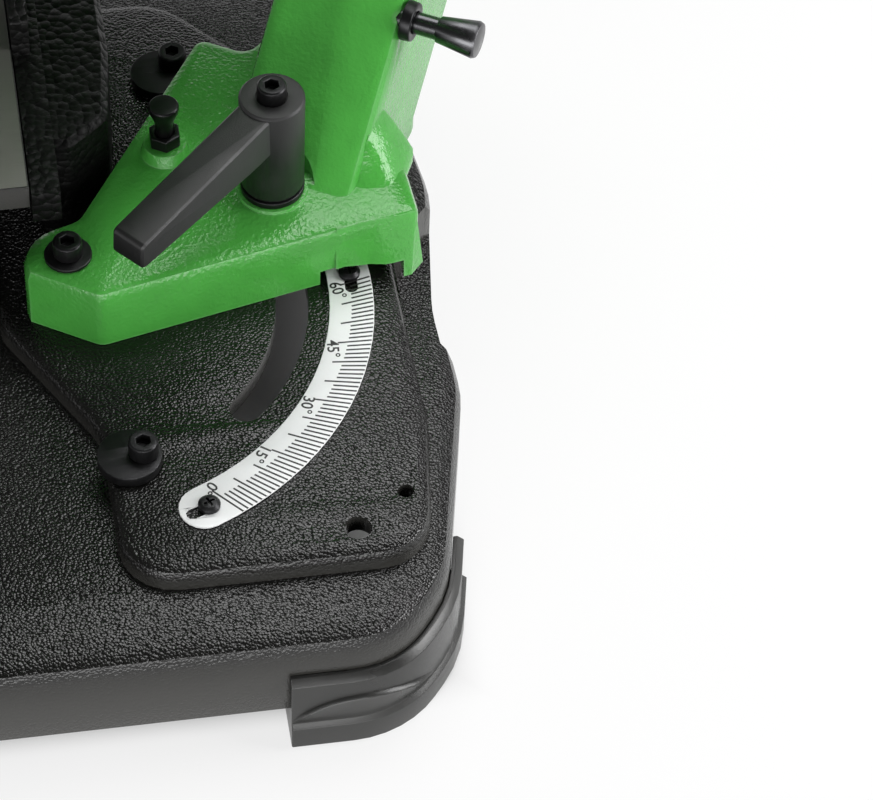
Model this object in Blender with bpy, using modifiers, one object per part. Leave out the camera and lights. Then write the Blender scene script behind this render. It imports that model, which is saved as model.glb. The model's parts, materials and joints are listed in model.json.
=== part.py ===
"""Swivel-head metal band saw: a cast base with a degree scale and a vise, an arm that swivels on the
base, and a sprung bow that carries two wheels, the blade, its guides, the motor and the handle.

Lengths are in metres, +Z is up. The base is drawn about the middle of its scale, with +X along the
blade at 0 degrees and +Y along the workpiece. The arm is drawn with X along the blade. The bow is drawn
in the plane of its wheels. Empties carry these frames, and each moving piece hangs on its own axis.
"""

import math

import bmesh
import bpy
from mathutils import Matrix, Vector

# Clearances
FIT = 0.0003
RUNNING = 0.0006

# Rest pose
SWIVEL_ANGLE = math.radians(60)
RAISE_ANGLE = math.radians(50)
WHEEL_TILT = math.radians(45)

# Base casting, measured from the middle of the scale
BASE_LEFT = 0.230
BASE_RIGHT = 0.1712
BASE_FRONT = 0.190
BASE_REAR = 0.221
BASE_CORNER = 0.060
FRONT_TAPER = (0.0476, 0.0216, 0.0322)
REAR_TAPER = 0.0152
LOBE_PROUD = 0.005
LOBE_Y = 0.062
BASE_BOTTOM = 0.021
BASE_WALL = 0.006
LEDGE_TOP = 0.064
LEDGE_EDGE = 0.008
PLATEAU_TOP = 0.075
PLATEAU_EDGE = 0.005
DECK = 0.009
GRIP_DEPTH = 0.019
GRIP_HALF = 0.030
GRIP_Y = 0.004
GRIP_FLOOR = 0.040
FOOT_TOP = 0.044
FOOT_PROUD = 0.007
FOOT_ALONG_X = 0.094
FOOT_ALONG_Y = 0.064

# Swivel scale and slot
PIVOT_X = 0.0061
SCALE_OUTER = (0.1423, 0.1389)
SCALE_INNER = (0.1199, 0.1198)
SCALE_THICK = 0.001
SCALE_FROM = math.radians(-67.4)
SCALE_TO = math.radians(4)
SCALE_HOLE = 0.0028
SCALE_PLAY = 0.0080
SCALE_SCREWS = ((0.1318, math.radians(-66.6)), (0.130, math.radians(0.5)))
SLOT_WIDTH = 0.0145
SLOT_SPARE = math.radians(1.5)

# Eccentric stops
STOP_DISC_RADIUS = 0.014
STOP_DISC_HEIGHT = 0.005
STOP_PLACES = ((0.0219, -0.0913, 0.006, 0.0), (0.0613, 0.1334, 0.006, 0.0045))

# Swivel arm, in the arm's frame
ARM_TOP = 0.108
ARM_EDGE = 0.005
TOE_RADIUS = 0.0195
CLAMP_AT = (0.0705, -0.0670)
STOP_AT = (0.0735, -0.0142)
STOP_BOSS_RISE = 0.006
STOP_HEAD_TOP = 0.138
POST_LEFT = -0.0410
POST_RIGHT = -0.1007
POST_SLOPE = math.radians(43)
POST_START = 0.0765
POST_DEPTH = 0.078
LOCK_AT = (0.1415, 0.160)
LOCK_HALF = 0.0165
BOSS_RISE = 0.0015
HUB_RELIEF = 0.0185
HINGE_U = 0.277
HINGE_PIN_RADIUS = 0.010
HINGE_BOSS = 0.027

# Metric screws
M8 = 0.004
M8_HEAD_RADIUS = 0.0065
M8_HEAD_HEIGHT = 0.008
M8_KEY = 0.006
M8_NUT_FLATS = 0.013
M8_NUT_HEIGHT = 0.0065

# Blade and wheels
WHEEL_RADIUS = 0.076
WHEEL_CENTRES = 0.481
DRIVE_U = 0.160
SHAFT_RADIUS = 0.008
BLADE_WIDTH = 0.013
BLADE_THICK = 0.00065
BLADE_PITCH = 0.0115
TOOTH_DEPTH = 0.0028
BLADE_CENTRE_Z = 0.155

# Bow
BOW_RADIUS = 0.090
BOW_WALL = 0.005
BOW_BACK = -0.024
BOW_FACE = 0.017
BEAM_LOW = 0.038
COVER_THICK = 0.003
RIGHT_GUIDE_U = 0.040
LEFT_GUIDE_U = -0.205
ROLLER_RADIUS = 0.008
TENSION_TRAVEL = 0.005

# Vise
TABLE_TOP = 0.150
TABLE_THICK = 0.013
TABLE_LEFT = -0.205
TABLE_RIGHT = -0.0085
TABLE_FRONT = 0.004
TABLE_REAR = 0.145
RAIL_THICK = 0.010
RAIL_INSET = 0.008
JAW_FRONT = 0.087
JAW_REAR = 0.140
JAW_LOW = 0.166
JAW_TOP = 0.189
JAW_THICK = 0.008
JAW_GAP = 0.062
STRIP_TOP = 0.146
STRIP_WIDTH = 0.013
FLANK_TOP = 0.132
SCREW_Y = (JAW_FRONT + JAW_REAR) / 2
SCREW_Z = 0.112
VISE_SCREW_RADIUS = 0.008
HANDWHEEL_RADIUS = 0.042

# Facets
ARC_STEP = math.radians(18)
BASE_STEP = math.radians(9)
SCALE_STEP = math.radians(4)
BOW_STEP = math.radians(12)
FINE_EDGE = 0.0035

for old in list(bpy.data.objects):
    bpy.data.objects.remove(old, do_unlink=True)
parts = bpy.data.collections.new("band_saw")
bpy.context.scene.collection.children.link(parts)


# Shapes

def meshed(obj, weld=True):
    """The object as its modifiers and curve settings give it, as one mesh facing out."""
    bpy.context.view_layer.update()
    graph = bpy.context.evaluated_depsgraph_get()
    mesh = bpy.data.meshes.new_from_object(obj.evaluated_get(graph))
    mesh.transform(obj.matrix_world)
    work = bmesh.new()
    work.from_mesh(mesh)
    if weld:
        bmesh.ops.remove_doubles(work, verts=work.verts, dist=1e-6)
    bmesh.ops.recalc_face_normals(work, faces=work.faces)
    work.to_mesh(mesh)
    work.free()
    solid = bpy.data.objects.new(obj.name, mesh)
    parts.objects.link(solid)
    bpy.data.objects.remove(obj, do_unlink=True)
    return solid


def from_bmesh(work):
    mesh = bpy.data.meshes.new("solid")
    bmesh.ops.recalc_face_normals(work, faces=work.faces)
    work.to_mesh(mesh)
    work.free()
    solid = bpy.data.objects.new("solid", mesh)
    parts.objects.link(solid)
    return solid


def block(low, high, edge=0.0):
    """A box between two corners, with its edges rounded."""
    work = bmesh.new()
    bmesh.ops.create_cube(work, size=1)
    low = Vector(low)
    high = Vector(high)
    bmesh.ops.scale(work, verts=work.verts, vec=high - low)
    bmesh.ops.translate(work, verts=work.verts, vec=(low + high) / 2)
    if edge:
        bmesh.ops.bevel(work, geom=work.edges, offset=edge, segments=2, profile=0.5, affect="EDGES")
    return from_bmesh(work)


def cylinder(radius, start, end, sides=20, end_radius=None):
    """A round bar, or a cone, from one point to another."""
    start = Vector(start)
    run = Vector(end) - start
    work = bmesh.new()
    bmesh.ops.create_cone(
        work,
        cap_ends=True,
        segments=sides,
        radius1=radius,
        radius2=radius if end_radius is None else end_radius,
        depth=run.length,
    )
    turn = run.to_track_quat("Z", "Y").to_matrix().to_4x4()
    bmesh.ops.transform(work, verts=work.verts, matrix=Matrix.Translation(start + run / 2) @ turn)
    return from_bmesh(work)


def circle(radius, centre=(0.0, 0.0), sides=24):
    turns = [2 * math.pi * step / sides for step in range(sides)]
    return [(centre[0] + radius * math.cos(turn), centre[1] + radius * math.sin(turn)) for turn in turns]


def arc(radius, start, stop, centre=(0.0, 0.0), step_angle=ARC_STEP):
    steps = max(2, math.ceil(abs(stop - start) / step_angle))
    turns = [start + (stop - start) * step / steps for step in range(steps + 1)]
    return [(centre[0] + radius * math.cos(turn), centre[1] + radius * math.sin(turn)) for turn in turns]


def fillet(corners, step_angle=ARC_STEP):
    """A closed outline with each corner (x, y, radius) rounded, and each (x, y) left sharp."""
    points = []
    for index, corner in enumerate(corners):
        here = Vector(corner[:2])
        if len(corner) < 3:
            points.append(tuple(here))
            continue
        before = (Vector(corners[index - 1][:2]) - here).normalized()
        after = (Vector(corners[(index + 1) % len(corners)][:2]) - here).normalized()
        half = before.angle(after) / 2
        reach = corner[2] / math.tan(half)
        centre = here + (before + after).normalized() * (corner[2] / math.sin(half))
        first = here + before * reach - centre
        last = here + after * reach - centre
        start = math.atan2(first.y, first.x)
        turn = math.atan2(last.y, last.x) - start
        turn = (turn + math.pi) % (2 * math.pi) - math.pi
        points += arc(corner[2], start, start + turn, tuple(centre), step_angle)
    return points


def polar(radius, angle):
    return radius * math.cos(angle), radius * math.sin(angle)


def slot_outline(radius, width, start, stop):
    """The outline of a slot along an arc, with round ends."""
    half = width / 2
    head = arc(half, stop, stop + math.pi, polar(radius, stop))
    tail = arc(half, start + math.pi, start + 2 * math.pi, polar(radius, start))
    outside = arc(radius + half, start, stop, step_angle=SCALE_STEP)
    inside = arc(radius - half, stop, start, step_angle=SCALE_STEP)
    return outside[1:-1] + head + inside[1:-1] + tail


def slab(outlines, bottom, top, edge=0.0, grow=0.0):
    """A flat piece cut to an outline, grown by an offset, with its rims rounded. Inner outlines are holes."""
    curve = bpy.data.curves.new("outline", "CURVE")
    curve.dimensions = "2D"
    curve.fill_mode = "BOTH"
    curve.extrude = (top - bottom) / 2 - edge
    curve.bevel_depth = edge
    curve.bevel_resolution = 1 if edge > FINE_EDGE else 0
    curve.offset = grow - edge
    for outline in outlines:
        spline = curve.splines.new("POLY")
        spline.points.add(len(outline) - 1)
        for point, (x, y) in zip(spline.points, outline):
            point.co = (x, y, 0, 1)
        spline.use_cyclic_u = True
    obj = bpy.data.objects.new("slab", curve)
    obj.location.z = (bottom + top) / 2
    parts.objects.link(obj)
    return meshed(obj)


def loft(low, high, bottom, top):
    """A solid between two outlines of as many points, one at each height."""
    work = bmesh.new()
    below = [work.verts.new((x, y, bottom)) for x, y in low]
    above = [work.verts.new((x, y, top)) for x, y in high]
    work.faces.new(below)
    work.faces.new(above)
    for index in range(len(low)):
        work.faces.new((below[index - 1], below[index], above[index]))
        work.faces.new((below[index - 1], above[index], above[index - 1]))
    return from_bmesh(work)


def turned(profile, sides=24, ring=False):
    """A turned piece about Z from (radius, height) points, closed on itself for a ring."""
    mesh = bpy.data.meshes.new("profile")
    edges = [(index, index + 1) for index in range(len(profile) - 1)]
    if ring:
        edges.append((len(profile) - 1, 0))
    mesh.from_pydata([(radius, 0, height) for radius, height in profile], edges, [])
    obj = bpy.data.objects.new("turned", mesh)
    parts.objects.link(obj)
    screw = obj.modifiers.new("screw", "SCREW")
    screw.steps = sides
    screw.render_steps = sides
    screw.use_merge_vertices = True
    screw.merge_threshold = 0.00001
    return meshed(obj)


def rod(points, radius, resolution=2):
    """A round bar along a list of points."""
    curve = bpy.data.curves.new("rod", "CURVE")
    curve.dimensions = "3D"
    curve.bevel_depth = radius
    curve.bevel_resolution = resolution
    curve.use_fill_caps = True
    spline = curve.splines.new("POLY")
    spline.points.add(len(points) - 1)
    for point, place in zip(spline.points, points):
        point.co = (*place, 1)
    obj = bpy.data.objects.new("rod", curve)
    parts.objects.link(obj)
    return meshed(obj)


def boolean(target, tools, operation):
    for tool in tools:
        modifier = target.modifiers.new(operation.lower(), "BOOLEAN")
        modifier.operation = operation
        modifier.object = tool
    solid = meshed(target, weld=False)
    for tool in tools:
        bpy.data.objects.remove(tool, do_unlink=True)
    return solid


def join(target, *tools):
    return boolean(target, tools, "UNION")


def cut(target, *tools):
    return boolean(target, tools, "DIFFERENCE")


def moved(solid, matrix):
    solid.data.transform(matrix)
    return solid


def upright(solid):
    """Stands a slab up: its Y becomes Z, and its thickness runs along -Y."""
    return moved(solid, Matrix.Rotation(math.pi / 2, 4, "X"))


# Frames and finishes

def axis(name, parent=None, place=(0, 0, 0), turn=(0, 0, 0)):
    empty = bpy.data.objects.new(name, None)
    empty.parent = parent
    empty.location = place
    empty.rotation_euler = turn
    empty.empty_display_size = 0.02
    parts.objects.link(empty)
    return empty


def finish(name, colour, roughness, metallic=0.0):
    material = bpy.data.materials.new(name)
    material.use_nodes = True
    shader = material.node_tree.nodes["Principled BSDF"]
    shader.inputs["Base Color"].default_value = (*colour, 1)
    shader.inputs["Roughness"].default_value = roughness
    shader.inputs["Metallic"].default_value = metallic
    return material


def piece(name, solid, parent, material):
    """Names a solid, hangs it on its frame and gives it its finish."""
    solid.name = name
    solid.data.name = name
    solid.parent = parent
    solid.data.materials.clear()
    solid.data.materials.append(material)
    solid.data.shade_smooth()
    solid.data.set_sharp_from_angle(angle=math.radians(35))
    return solid


BLACK_CAST = finish("black_cast", (0.012, 0.012, 0.013), 0.5)
GREEN_PAINT = finish("green_paint", (0.05, 0.30, 0.045), 0.3)
RUBBER = finish("rubber", (0.02, 0.02, 0.02), 0.6)
BLACK_OXIDE = finish("black_oxide", (0.015, 0.015, 0.016), 0.4, 0.8)
STEEL = finish("steel", (0.45, 0.45, 0.45), 0.3, 1.0)
SCALE_WHITE = finish("scale_white", (0.75, 0.76, 0.76), 0.4)
PLASTIC = finish("black_plastic", (0.02, 0.02, 0.021), 0.5)

HINGE_Z = ARM_TOP + (HINGE_U - POST_START) * math.tan(POST_SLOPE) - POST_DEPTH / 2 / math.cos(POST_SLOPE)
machine = axis("machine")
swivel_axis = axis("swivel_axis", machine, (PIVOT_X, 0, 0), (0, 0, SWIVEL_ANGLE))
hinge_axis = axis("hinge_axis", swivel_axis, (HINGE_U, 0, HINGE_Z), (0, RAISE_ANGLE, 0))
BLADE_OFFSET = (WHEEL_RADIUS + FIT + BLADE_THICK / 2) * math.sin(WHEEL_TILT)
WHEEL_Z = BLADE_CENTRE_Z + BLADE_OFFSET
wheel_plane = axis(
    "wheel_plane",
    hinge_axis,
    (-HINGE_U, BLADE_OFFSET, WHEEL_Z - HINGE_Z),
    (WHEEL_TILT, 0, 0),
)


# Fasteners

def cap_screw(seat, length):
    """A socket cap screw about Z whose head sits on the height given."""
    body = turned([
        (0, seat - length),
        (M8, seat - length),
        (M8, seat),
        (M8_HEAD_RADIUS, seat),
        (M8_HEAD_RADIUS, seat + M8_HEAD_HEIGHT - 0.0008),
        (M8_HEAD_RADIUS - 0.0008, seat + M8_HEAD_HEIGHT),
        (0, seat + M8_HEAD_HEIGHT),
    ], 16)
    key = M8_KEY / 2 / math.cos(math.pi / 6)
    return cut(body, cylinder(key, (0, 0, seat + 0.0035), (0, 0, seat + 0.012), 6))


def at(solid, x, y, z=0.0):
    return moved(solid, Matrix.Translation((x, y, z)))


# Base casting

BASE_OUTLINE = fillet([
    (-BASE_LEFT, -BASE_FRONT, BASE_CORNER),
    (BASE_RIGHT - FRONT_TAPER[0], -BASE_FRONT, 0.042),
    (BASE_RIGHT - FRONT_TAPER[1], FRONT_TAPER[2] - BASE_FRONT, 0.060),
    (BASE_RIGHT, -0.0585, 0.060),
    (BASE_RIGHT - LOBE_PROUD / 2, 0.006, 0.080),
    (BASE_RIGHT + LOBE_PROUD, LOBE_Y, 0.060),
    (BASE_RIGHT - REAR_TAPER, BASE_REAR, BASE_CORNER),
    (-BASE_LEFT, BASE_REAR, BASE_CORNER),
], BASE_STEP)
PLATEAU_OUTLINE = fillet([
    (-0.026, -0.006, 0.014),
    (0.0115, -0.072, 0.030),
    (0.0125, -0.154, 0.024),
    (0.1425, -0.1545, 0.024),
    (0.1520, -0.085, 0.060),
    (0.1505, -0.010, 0.060),
    (0.1500, 0.060, 0.060),
    (0.118, 0.128, 0.040),
    (0.066, 0.186, 0.030),
    (-0.026, 0.186, 0.020),
])
SLOT_RADIUS = math.hypot(*CLAMP_AT)
CLAMP_ANGLE = math.atan2(CLAMP_AT[1], CLAMP_AT[0])


def grip_recess(side, wall):
    """The space of a carrying grip in one side of the base, grown by a wall."""
    edge = BASE_RIGHT if side > 0 else -BASE_LEFT
    deep = edge - side * (GRIP_DEPTH + wall)
    near = GRIP_Y - GRIP_HALF - wall
    far = GRIP_Y + GRIP_HALF + wall
    outline = fillet([
        (edge + side * 0.030, near - 0.030),
        (edge + side * 0.004, near - 0.020, 0.020),
        (deep, near + 0.012, 0.018),
        (deep, far - 0.012, 0.018),
        (edge + side * 0.004, far + 0.020, 0.020),
        (edge + side * 0.030, far + 0.030),
    ])
    return slab([outline], GRIP_FLOOR - wall, PLATEAU_TOP + 0.020)


def base_casting():
    low = -0.020
    body = slab([BASE_OUTLINE], low, LEDGE_TOP, LEDGE_EDGE)
    plateau = slab([PLATEAU_OUTLINE], LEDGE_TOP - 0.015, PLATEAU_TOP, PLATEAU_EDGE)
    body = join(body, plateau)
    hollow = slab([BASE_OUTLINE], low - 0.010, LEDGE_TOP - BASE_WALL, grow=-BASE_WALL)
    pocket = slab([PLATEAU_OUTLINE], LEDGE_TOP - 0.020, PLATEAU_TOP - DECK, grow=-0.012)
    hollow = join(hollow, pocket)
    hollow = cut(hollow, grip_recess(1, BASE_WALL), grip_recess(-1, BASE_WALL))
    below = block((-0.4, -0.4, -0.1), (0.4, 0.4, BASE_BOTTOM))
    body = cut(body, hollow, below, grip_recess(1, 0), grip_recess(-1, 0))
    boss = cylinder(0.022, (PIVOT_X, 0, BASE_BOTTOM + 0.012), (PIVOT_X, 0, PLATEAU_TOP - 0.001), 28)
    body = join(body, boss)
    start = CLAMP_ANGLE - SLOT_SPARE
    stop = CLAMP_ANGLE + SWIVEL_ANGLE + SLOT_SPARE
    slot = at(slab([slot_outline(SLOT_RADIUS, SLOT_WIDTH, start, stop)], 0.05, 0.09), PIVOT_X, 0)
    holes = [
        cylinder(M8 + FIT, (PIVOT_X, 0, 0), (PIVOT_X, 0, 0.1), 16),
        cylinder(0.006, (0.1131, -0.1401, 0.05), (0.1131, -0.1401, 0.1), 20),
        cylinder(0.0035, (0.136, -0.1232, 0.0), (0.136, -0.1232, 0.1), 14),
    ]
    for x, y, dx, dy in STOP_PLACES:
        holes.append(cylinder(M8 + FIT, (x + dx, y + dy, 0.05), (x + dx, y + dy, 0.1), 16))
    for screw in SCALE_SCREWS:
        x, y = polar(*screw)
        holes.append(cylinder(SCALE_HOLE, (x, y, 0.05), (x, y, 0.1), 12))
    piece("base_casting", cut(body, slot, *holes), machine, BLACK_CAST)


def foot(name, side_x, side_y):
    """A rubber corner foot: an L under and around the base, with a wider skirt at the floor."""
    x = BASE_RIGHT if side_x > 0 else -BASE_LEFT
    y = BASE_REAR if side_y > 0 else -BASE_FRONT
    upper = slab([BASE_OUTLINE], 0.004, FOOT_TOP, 0.003, FOOT_PROUD - 0.002)
    skirt = slab([BASE_OUTLINE], 0.0, 0.016, 0.002, FOOT_PROUD)
    across = sorted((x - side_x * FOOT_ALONG_X, x + side_x * 0.02))
    along = sorted((y - side_y * FOOT_ALONG_Y, y + side_y * 0.02))
    corner = block((across[0], along[0], -0.01), (across[1], along[1], 0.06))
    solid = boolean(join(upper, skirt), [corner], "INTERSECT")
    seat = slab([BASE_OUTLINE], BASE_BOTTOM - FIT, 0.06, grow=FIT)
    inside = slab([BASE_OUTLINE], -0.01, 0.06, grow=-0.030)
    piece(name, cut(solid, seat, inside), machine, RUBBER)


def degree_scale():
    """The strip, narrower towards 60 degrees, with round ends and a hole for each screw."""
    steps = math.ceil((SCALE_TO - SCALE_FROM) / SCALE_STEP)
    outside = []
    inside = []
    for step in range(steps + 1):
        share = step / steps
        angle = SCALE_FROM + (SCALE_TO - SCALE_FROM) * share
        outside.append(polar(SCALE_OUTER[0] + (SCALE_OUTER[1] - SCALE_OUTER[0]) * share, angle))
        inside.append(polar(SCALE_INNER[0] + (SCALE_INNER[1] - SCALE_INNER[0]) * share, angle))
    ends = []
    for index, angle in ((-1, SCALE_TO), (0, SCALE_FROM + math.pi)):
        middle = (Vector(outside[index]) + Vector(inside[index])) / 2
        half = (Vector(outside[index]) - Vector(inside[index])).length / 2
        ends.append(arc(half, angle, angle + math.pi, tuple(middle))[1:-1])
    outline = outside + ends[0] + inside[::-1] + ends[1]
    holes = []
    for radius, angle in SCALE_SCREWS:
        holes.append(slot_outline(radius, 2 * SCALE_HOLE, angle - SCALE_PLAY / radius, angle))
    bottom = PLATEAU_TOP + FIT
    piece("degree_scale", slab([outline, *holes], bottom, bottom + SCALE_THICK), machine, SCALE_WHITE)


def scale_screw(name, radius, angle):
    seat = PLATEAU_TOP + 2 * FIT + SCALE_THICK
    solid = turned([
        (0, seat - 0.012),
        (0.0025, seat - 0.012),
        (0.0025, seat),
        (0.00485, seat),
        (0.00485, seat + 0.0016),
        (0.0034, seat + 0.0029),
        (0, seat + 0.0033),
    ], 18)
    for turn in (angle, angle + math.pi / 2):
        wing = block((-0.0026, -0.0006, seat + 0.0014), (0.0026, 0.0006, seat + 0.01))
        solid = cut(solid, moved(wing, Matrix.Rotation(turn, 4, "Z")))
    piece(name, at(solid, *polar(radius, angle)), machine, BLACK_OXIDE)


def eccentric_stop(name, x, y, dx, dy):
    bottom = PLATEAU_TOP + FIT
    hole = circle(M8 + FIT, (x + dx, y + dy), 12)
    disc = slab([circle(STOP_DISC_RADIUS, (x, y), 28), hole], bottom, bottom + STOP_DISC_HEIGHT)
    piece(name + "_stop_disc", disc, machine, BLACK_OXIDE)
    screw = at(cap_screw(bottom + STOP_DISC_HEIGHT + FIT, 0.020), x + dx, y + dy)
    piece(name + "_stop_screw", screw, machine, BLACK_OXIDE)


# Vise

def vise_table():
    under = TABLE_TOP - TABLE_THICK
    floor = LEDGE_TOP + FIT
    top = block((TABLE_LEFT, TABLE_FRONT, under), (TABLE_RIGHT, TABLE_REAR, TABLE_TOP))
    near = TABLE_FRONT + RAIL_INSET
    far = TABLE_REAR - RAIL_INSET
    front = block((TABLE_LEFT + 0.006, near, floor), (-0.033, near + RAIL_THICK, under + 0.005))
    rear = block((TABLE_LEFT + 0.006, far - RAIL_THICK, floor), (-0.033, far, under + 0.005))
    end = block((-0.041, near + 0.004, floor), (-0.033, far - 0.004, under + 0.005))
    slot = block((TABLE_LEFT + 0.020, SCREW_Y - 0.0065, 0.1), (-0.044, SCREW_Y + 0.0065, 0.2))
    piece("vise_table", cut(join(top, front, rear, end), slot), machine, BLACK_CAST)


def jaw_side(floor):
    """The side of a jaw, in Y and Z, lower towards the blade so that the lowered bow clears it."""
    return fillet([
        (JAW_FRONT, floor),
        (JAW_REAR, floor),
        (JAW_REAR, JAW_TOP, 0.003),
        (JAW_REAR - 0.010, JAW_TOP, 0.006),
        (JAW_FRONT, JAW_LOW, 0.003),
    ])


def along_x(solid):
    """Lays a slab so that its outline is in Y and Z, and its thickness runs along X."""
    return moved(solid, Matrix(((0, 0, 1, 0), (1, 0, 0, 0), (0, 1, 0, 0), (0, 0, 0, 1))))


def fixed_jaw():
    face = TABLE_RIGHT + FIT
    floor = PLATEAU_TOP + FIT
    low = floor - 0.010
    strip = block(
        (face + 0.0005, TABLE_FRONT - 0.001, FLANK_TOP - 0.003),
        (face + STRIP_WIDTH, JAW_REAR - 0.003, STRIP_TOP),
    )
    plate = along_x(slab([jaw_side(low - 0.002)], face, face + JAW_THICK))
    flank = slab([fillet([
        (face + 0.006, 0.046, 0.004),
        (0.0122, 0.0440, 0.004),
        (0.0305, 0.0590, 0.008),
        (0.0350, 0.1000, 0.030),
        (0.0350, JAW_REAR + 0.003, 0.006),
        (face + 0.006, JAW_REAR + 0.003, 0.004),
    ])], low - 0.004, FLANK_TOP, 0.003)
    below = block((-0.1, -0.1, 0.0), (0.2, 0.3, floor))
    piece("fixed_jaw", cut(join(strip, plate, flank), below), machine, BLACK_CAST)


def vise_nut_block():
    under = TABLE_TOP - TABLE_THICK
    low = TABLE_FRONT + RAIL_INSET + RAIL_THICK + FIT
    high = TABLE_REAR - RAIL_INSET - RAIL_THICK - FIT
    body = block((TABLE_LEFT + 0.008, low, 0.088), (TABLE_LEFT + 0.019, high, under - FIT))
    bore = cylinder(VISE_SCREW_RADIUS + FIT, (-0.3, SCREW_Y, SCREW_Z), (-0.1, SCREW_Y, SCREW_Z), 20)
    piece("vise_nut_block", cut(body, bore), machine, STEEL)


def movable_jaw():
    floor = TABLE_TOP + FIT
    body = upright(slab([fillet([
        (0, floor),
        (0, JAW_TOP),
        (-0.014, JAW_TOP, 0.004),
        (-0.046, floor + 0.016, 0.006),
        (-0.046, floor),
    ])], -JAW_REAR, -JAW_FRONT))
    body = boolean(body, [along_x(slab([jaw_side(floor - 0.01)], -0.06, 0.01))], "INTERSECT")
    lug = block((-0.046, SCREW_Y - 0.006, SCREW_Z - 0.016), (-0.034, SCREW_Y + 0.006, floor + 0.008))
    neck = VISE_SCREW_RADIUS - 0.002 + FIT
    bore = cylinder(neck, (-0.1, SCREW_Y, SCREW_Z), (-0.037, SCREW_Y, SCREW_Z), 16)
    piece("movable_jaw", cut(join(body, lug), bore), jaw_axis, BLACK_CAST)


def vise_screw():
    """The screw, turned along -X from the jaw's lug, with its handwheel and crank grip."""
    lay = Matrix.Rotation(-math.pi / 2, 4, "Y")
    neck = VISE_SCREW_RADIUS - 0.002
    screw = turned([
        (0, 0.0375),
        (neck, 0.0375),
        (neck, 0.0464),
        (VISE_SCREW_RADIUS, 0.0464),
        (VISE_SCREW_RADIUS, 0.206),
        (neck, 0.206),
        (neck, 0.224),
        (0, 0.224),
    ], 20)
    piece("vise_screw", moved(screw, lay), screw_axis, STEEL)
    rim = turned([
        (HANDWHEEL_RADIUS - 0.009, 0.209),
        (HANDWHEEL_RADIUS - 0.002, 0.2075),
        (HANDWHEEL_RADIUS, 0.212),
        (HANDWHEEL_RADIUS, 0.217),
        (HANDWHEEL_RADIUS - 0.002, 0.2215),
        (HANDWHEEL_RADIUS - 0.009, 0.220),
    ], 24, ring=True)
    hub = cylinder(0.013, (0, 0, 0.2063), (0, 0, 0.223), 20)
    spokes = []
    for turn in range(3):
        angle = 2 * math.pi * turn / 3
        tip = polar(HANDWHEEL_RADIUS - 0.005, angle)
        spokes.append(cylinder(0.0055, (0, 0, 0.2145), (*tip, 0.2145), 8, 0.0045))
    wheel = join(rim, hub, *spokes)
    wheel = cut(wheel, cylinder(neck + FIT, (0, 0, 0.2), (0, 0, 0.23), 20))
    piece("vise_handwheel", moved(wheel, lay), screw_axis, BLACK_CAST)
    radius = HANDWHEEL_RADIUS - 0.006
    grip = turned([
        (0, 0.2218),
        (0.004, 0.2218),
        (0.006, 0.232),
        (0.0085, 0.245),
        (0.007, 0.256),
        (0, 0.259),
    ], 16)
    piece("handwheel_grip", moved(at(grip, radius, 0), lay), screw_axis, PLASTIC)


# Swivel arm

ARM_BOTTOM = PLATEAU_TOP + FIT
ARM_OUTLINE = fillet([
    *arc(TOE_RADIUS, math.radians(45), math.radians(140)),
    (-0.0160, -0.0220, 0.007),
    (0.0770, -0.1228, 0.010),
    (0.0810, -0.1335, 0.006),
    (0.1070, -0.1160, 0.030),
    (0.1185, POST_RIGHT),
    (0.1670, POST_RIGHT, 0.012),
    (0.1670, -0.0290, 0.008),
    (0.1462, -0.0235, 0.007),
    (0.1462, 0.0012, 0.006),
    (0.0225, 0.0060, 0.008),
])
PAD_LOW = (
    (0.0560, -0.1030),
    (0.0625, -0.1147),
    (0.0662, -0.1247),
    (0.0727, -0.1324),
    (0.0830, -0.1345),
    (0.0900, -0.1240),
    (0.0720, -0.1000),
)
PAD_HIGH = (
    (0.0590, -0.1020),
    (0.0680, -0.1110),
    (0.0722, -0.1165),
    (0.0780, -0.1245),
    (0.0830, -0.1300),
    (0.0880, -0.1230),
    (0.0720, -0.1000),
)


def post():
    """The sloped box beam of the arm, with its round head about the hinge."""
    run = Vector((math.cos(POST_SLOPE), math.sin(POST_SLOPE)))
    across = Vector((run.y, -run.x)) * POST_DEPTH / 2
    hinge = Vector((HINGE_U, HINGE_Z))
    top = Vector((POST_START, ARM_TOP))
    foot_top = top - run * 0.016
    foot_low = top + across * 2 - run * 0.018
    outline = [tuple(foot_top), tuple(foot_low), tuple(hinge + across), tuple(hinge - across)]
    beam = upright(slab([outline], -POST_LEFT, -POST_RIGHT, 0.005))
    head = upright(slab([circle(POST_DEPTH / 2, tuple(hinge), 32)], -POST_LEFT, -POST_RIGHT, 0.005))
    return join(beam, head)


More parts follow.
